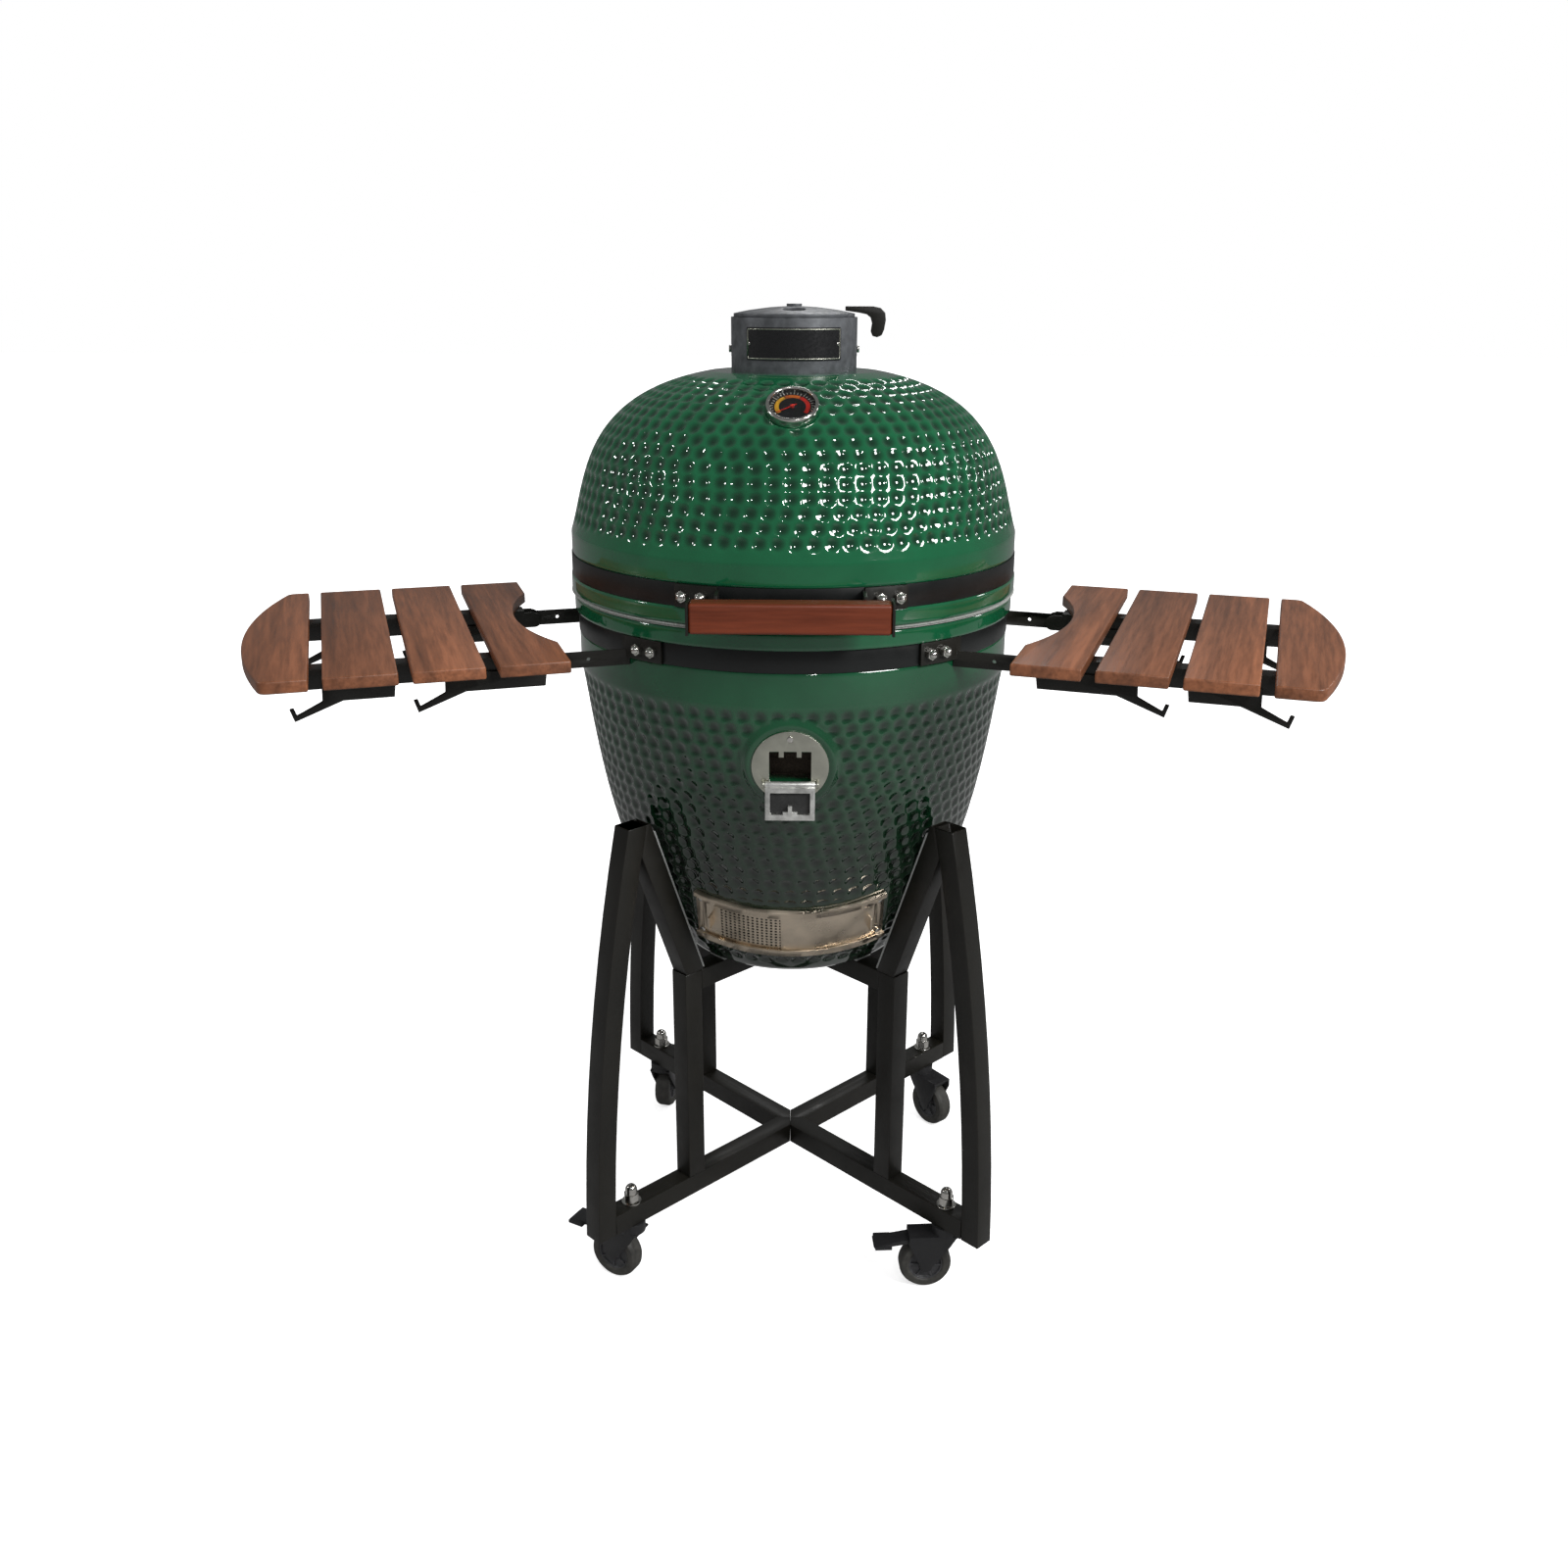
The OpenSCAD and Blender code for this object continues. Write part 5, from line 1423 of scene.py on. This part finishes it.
@dataclass
class Caster:
    """One swivel caster with its braked wheel."""

    palette: Palette
    place: str
    braked: bool

    def build(self) -> None:
        """Builds fork, wheel and pedal."""
        finish = self.palette["caster"]
        soft_copy(f"caster_fork_{self.place}", f"caster_{self.place}", finish, 0.9 * MM)
        if self.braked:
            soft_copy(f"caster_pedal_{self.place}", f"brake_{self.place}", finish, 1.2 * MM, 3)
        self.wheel()

    def wheel(self) -> None:
        """The tyre with its round shoulders, and the ribbed hub inside it."""
        node = f"caster_wheel_{self.place}"
        joint = next(j for j in frame["joints"] if j["name"] == f"wheel_{self.place}_spin")
        axle = Vector(joint["axis"])
        turned = Vector((0, 0, 1)).rotation_difference(axle).to_matrix().to_4x4()
        to_frame = Matrix.Translation(joint["pos_m"]) @ turned
        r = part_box(node)[1][2] / 2
        h = 12.5 * MM
        tread = [(24, h - 1 * MM, 0), (27, h, 1), (r / MM - 3, h, 2), (r / MM, h - 5 * MM, 5)]
        tyre = rounded(self.both_faces(tread), 5)
        mesh = transformed(lathe("tyre", tyre, 96), to_frame)
        body = f"wheel_{self.place}"
        new_piece(f"wheel_tyre_{self.place}", mesh, body, self.palette["rubber"], [node])
        dish = [(4.1, h + 1 * MM, 0), (9, h + 1 * MM, 1), (11, h - 4 * MM, 1), (21, h - 4 * MM, 1)]
        dish += [(22.5, h - 1 * MM, 1), (24.5, h - 1 * MM, 0)]
        hub = rounded(self.both_faces(dish), 3)
        ribs = [self.rib(TURN * k / 6, h) for k in range(6)]
        mesh = transformed(sharp_edges(joined("hub", [lathe("hub", hub, 72), *ribs])), to_frame)
        new_piece(f"wheel_hub_{self.place}", mesh, body, self.palette["hub"])

    def both_faces(self, face: list[tuple[float, float, float]]) -> list[tuple[float, float, float]]:
        """Mirrors one face's outline across the wheel.

        Args:
            face: Corners from the axle outwards: radius in mm, height in metres and rounding in mm.

        Returns:
            The closed outline's corners in metres.
        """
        made = [(r * MM, z, bend * MM) for r, z, bend in face]
        return [(r, -z, bend) for r, z, bend in made] + made[::-1]

    def rib(self, angle: float, h: float) -> bpy.types.Mesh:
        """One stiffening rib on both faces of the hub."""
        top = h - 1.5 * MM
        points = [(x, y, z) for x in (9 * MM, 22 * MM) for y in (-1 * MM, 1 * MM) for z in (-top, top)]
        faces = [(0, 1, 3, 2), (4, 5, 7, 6), (0, 1, 5, 4), (2, 3, 7, 6), (0, 2, 6, 4), (1, 3, 7, 5)]
        return transformed(mesh_from("rib", points, faces, False), Matrix.Rotation(angle, 4, "Z"))


# ---------- studio ----------


@dataclass
class Studio:
    """Camera, pale floor and soft light."""

    eye: tuple[float, float, float] = (0.016, -1.9649, 1.3658)
    pitch: float = 0.333
    yaw: float = -0.014
    roll: float = 0.003
    lens: float = 32.89
    aim: tuple[float, float, float] = (0, 0, 0.9)

    def camera(self) -> None:
        """Places the camera on the fitted viewpoint, level with the cap and looking slightly down."""
        level = math.cos(self.pitch)
        ahead = Vector((math.sin(self.yaw) * level, math.cos(self.yaw) * level, -math.sin(self.pitch)))
        right = Vector((math.cos(self.yaw), -math.sin(self.yaw), 0))
        up = right.cross(ahead)
        right, up = (
            right * math.cos(self.roll) + up * math.sin(self.roll),
            up * math.cos(self.roll) - right * math.sin(self.roll),
        )
        data = bpy.data.cameras.new("camera")
        data.lens = self.lens
        data.sensor_width = 36.0
        data.dof.use_dof = False
        data.clip_end = 100.0
        made = bpy.data.objects.new("camera", data)
        turn = Matrix((right, up, -ahead)).transposed().to_4x4()
        made.matrix_world = Matrix.Translation(Vector(self.eye) + Vector((0, AXIS_Y, 0))) @ turn
        bpy.context.scene.collection.objects.link(made)
        bpy.context.scene.camera = made

    def floor(self) -> None:
        """A wide pale floor, brightened where the camera sees it and dimmer where the glaze mirrors it."""
        half = 30.0
        points = [(-half, -half, 0), (half, -half, 0), (half, half, 0), (-half, half, 0)]
        mesh = mesh_from("floor", points, [(0, 1, 2, 3)], False)
        g = Graph("floor_paper")
        bright = g.ramp(g.noise(2.0, 3.0), (0.3, (0.86, 0.86, 0.86)), (0.7, (0.88, 0.88, 0.88)))
        dim = g.ramp(g.noise(2.0, 3.0), (0.3, (0.3, 0.3, 0.3)), (0.7, (0.32, 0.32, 0.32)))
        seen = g.node("ShaderNodeLightPath").outputs["Is Camera Ray"]
        g.colour(g.mixed(seen, dim, bright))
        distance = g.node("ShaderNodeVectorMath", operation="LENGTH")
        g.link(g.node("ShaderNodeTexCoord").outputs["Object"], distance.inputs[0])
        glow = g.node("ShaderNodeMapRange")
        g.link(distance.outputs["Value"], glow.inputs["Value"])
        for name, value in (("From Min", 0.5), ("From Max", 2.4), ("To Min", 0.62), ("To Max", 1.05)):
            glow.inputs[name].default_value = value
        strength = g.node("ShaderNodeMath", operation="MULTIPLY")
        g.link(glow.outputs["Result"], strength.inputs[0])
        g.link(seen, strength.inputs[1])
        g.link(strength.outputs[0], g.shader.inputs["Emission Strength"])
        g.set(Roughness=0.9, Specular_IOR_Level=0.1, Emission_Color=(1.0, 1.0, 1.0, 1.0))
        mesh.materials.append(g.material)
        made = bpy.data.objects.new("floor", mesh)
        bpy.context.scene.collection.objects.link(made)

    def lamp(self, name: str, at: Sequence[float], size: Sequence[float], watts: float) -> None:
        """Adds a soft rectangular light that faces the grill."""
        data = bpy.data.lights.new(name, "AREA")
        data.shape = "RECTANGLE"
        data.size, data.size_y = size
        data.energy = watts
        made = bpy.data.objects.new(name, data)
        made.location = at
        made.rotation_mode = "QUATERNION"
        made.rotation_quaternion = (Vector(self.aim) - Vector(at)).to_track_quat("-Z", "Y")
        bpy.context.scene.collection.objects.link(made)

    def sky(self) -> None:
        """A white surround that stays dim in reflections, so that glossy pieces keep their depth."""
        world = bpy.data.worlds.new("surround")
        bpy.context.scene.world = world
        world.use_nodes = True
        tree = world.node_tree
        back = tree.nodes["Background"]
        rays = tree.nodes.new("ShaderNodeLightPath")
        glossy = tree.nodes.new("ShaderNodeMix")
        glossy.data_type = "RGBA"
        glossy.inputs[6].default_value = (0.6, 0.6, 0.6, 1.0)
        glossy.inputs[7].default_value = (0.15, 0.155, 0.155, 1.0)
        tree.links.new(rays.outputs["Is Glossy Ray"], glossy.inputs[0])
        seen = tree.nodes.new("ShaderNodeMix")
        seen.data_type = "RGBA"
        seen.inputs[7].default_value = (1.0, 1.0, 1.0, 1.0)
        tree.links.new(rays.outputs["Is Camera Ray"], seen.inputs[0])
        tree.links.new(glossy.outputs[2], seen.inputs[6])
        tree.links.new(seen.outputs[2], back.inputs["Color"])
        back.inputs["Strength"].default_value = 1.0

    def build(self) -> None:
        """Builds the whole studio."""
        self.camera()
        self.floor()
        self.sky()
        self.lamp("key_light", (2.9, -2.5, 3.3), (1.25, 1.25), 150.0)
        self.lamp("left_light", (-2.46, -0.36, 2.14), (0.2, 0.2), 7.0)
        self.lamp("right_light", (2.37, 0.9, 1.9), (0.25, 0.25), 5.0)
        self.lamp("top_light", (0.2, 1.93, 2.7), (0.6, 0.3), 8.0)
        self.lamp("port_light", (0.5, -2.4, 2.6), (0.16, 0.16), 9.0)
        bpy.context.scene.view_settings.view_transform = "Standard"


def keep_size() -> None:
    """Brings the view layer up to date."""
    bpy.context.view_layer.update()


def main() -> None:
    """Builds the grill, one sub-assembly after another."""
    palette = Palette()
    casters = [Caster(palette, place, place != "rr") for place in ("fl", "fr", "rl", "rr")]
    shelves = [Shelf(palette, side) for side in ("left", "right")]
    parts = [Studio(), Body(palette), Gauge(palette), Cap(palette), Handle(palette), Bands(palette)]
    parts += [Vents(palette), Inside(palette), Stand(palette), *shelves, *casters]
    for part in parts:
        log.info("building %s", type(part).__name__)
        part.build()
    keep_size()


if __name__ == "__main__":
    main()
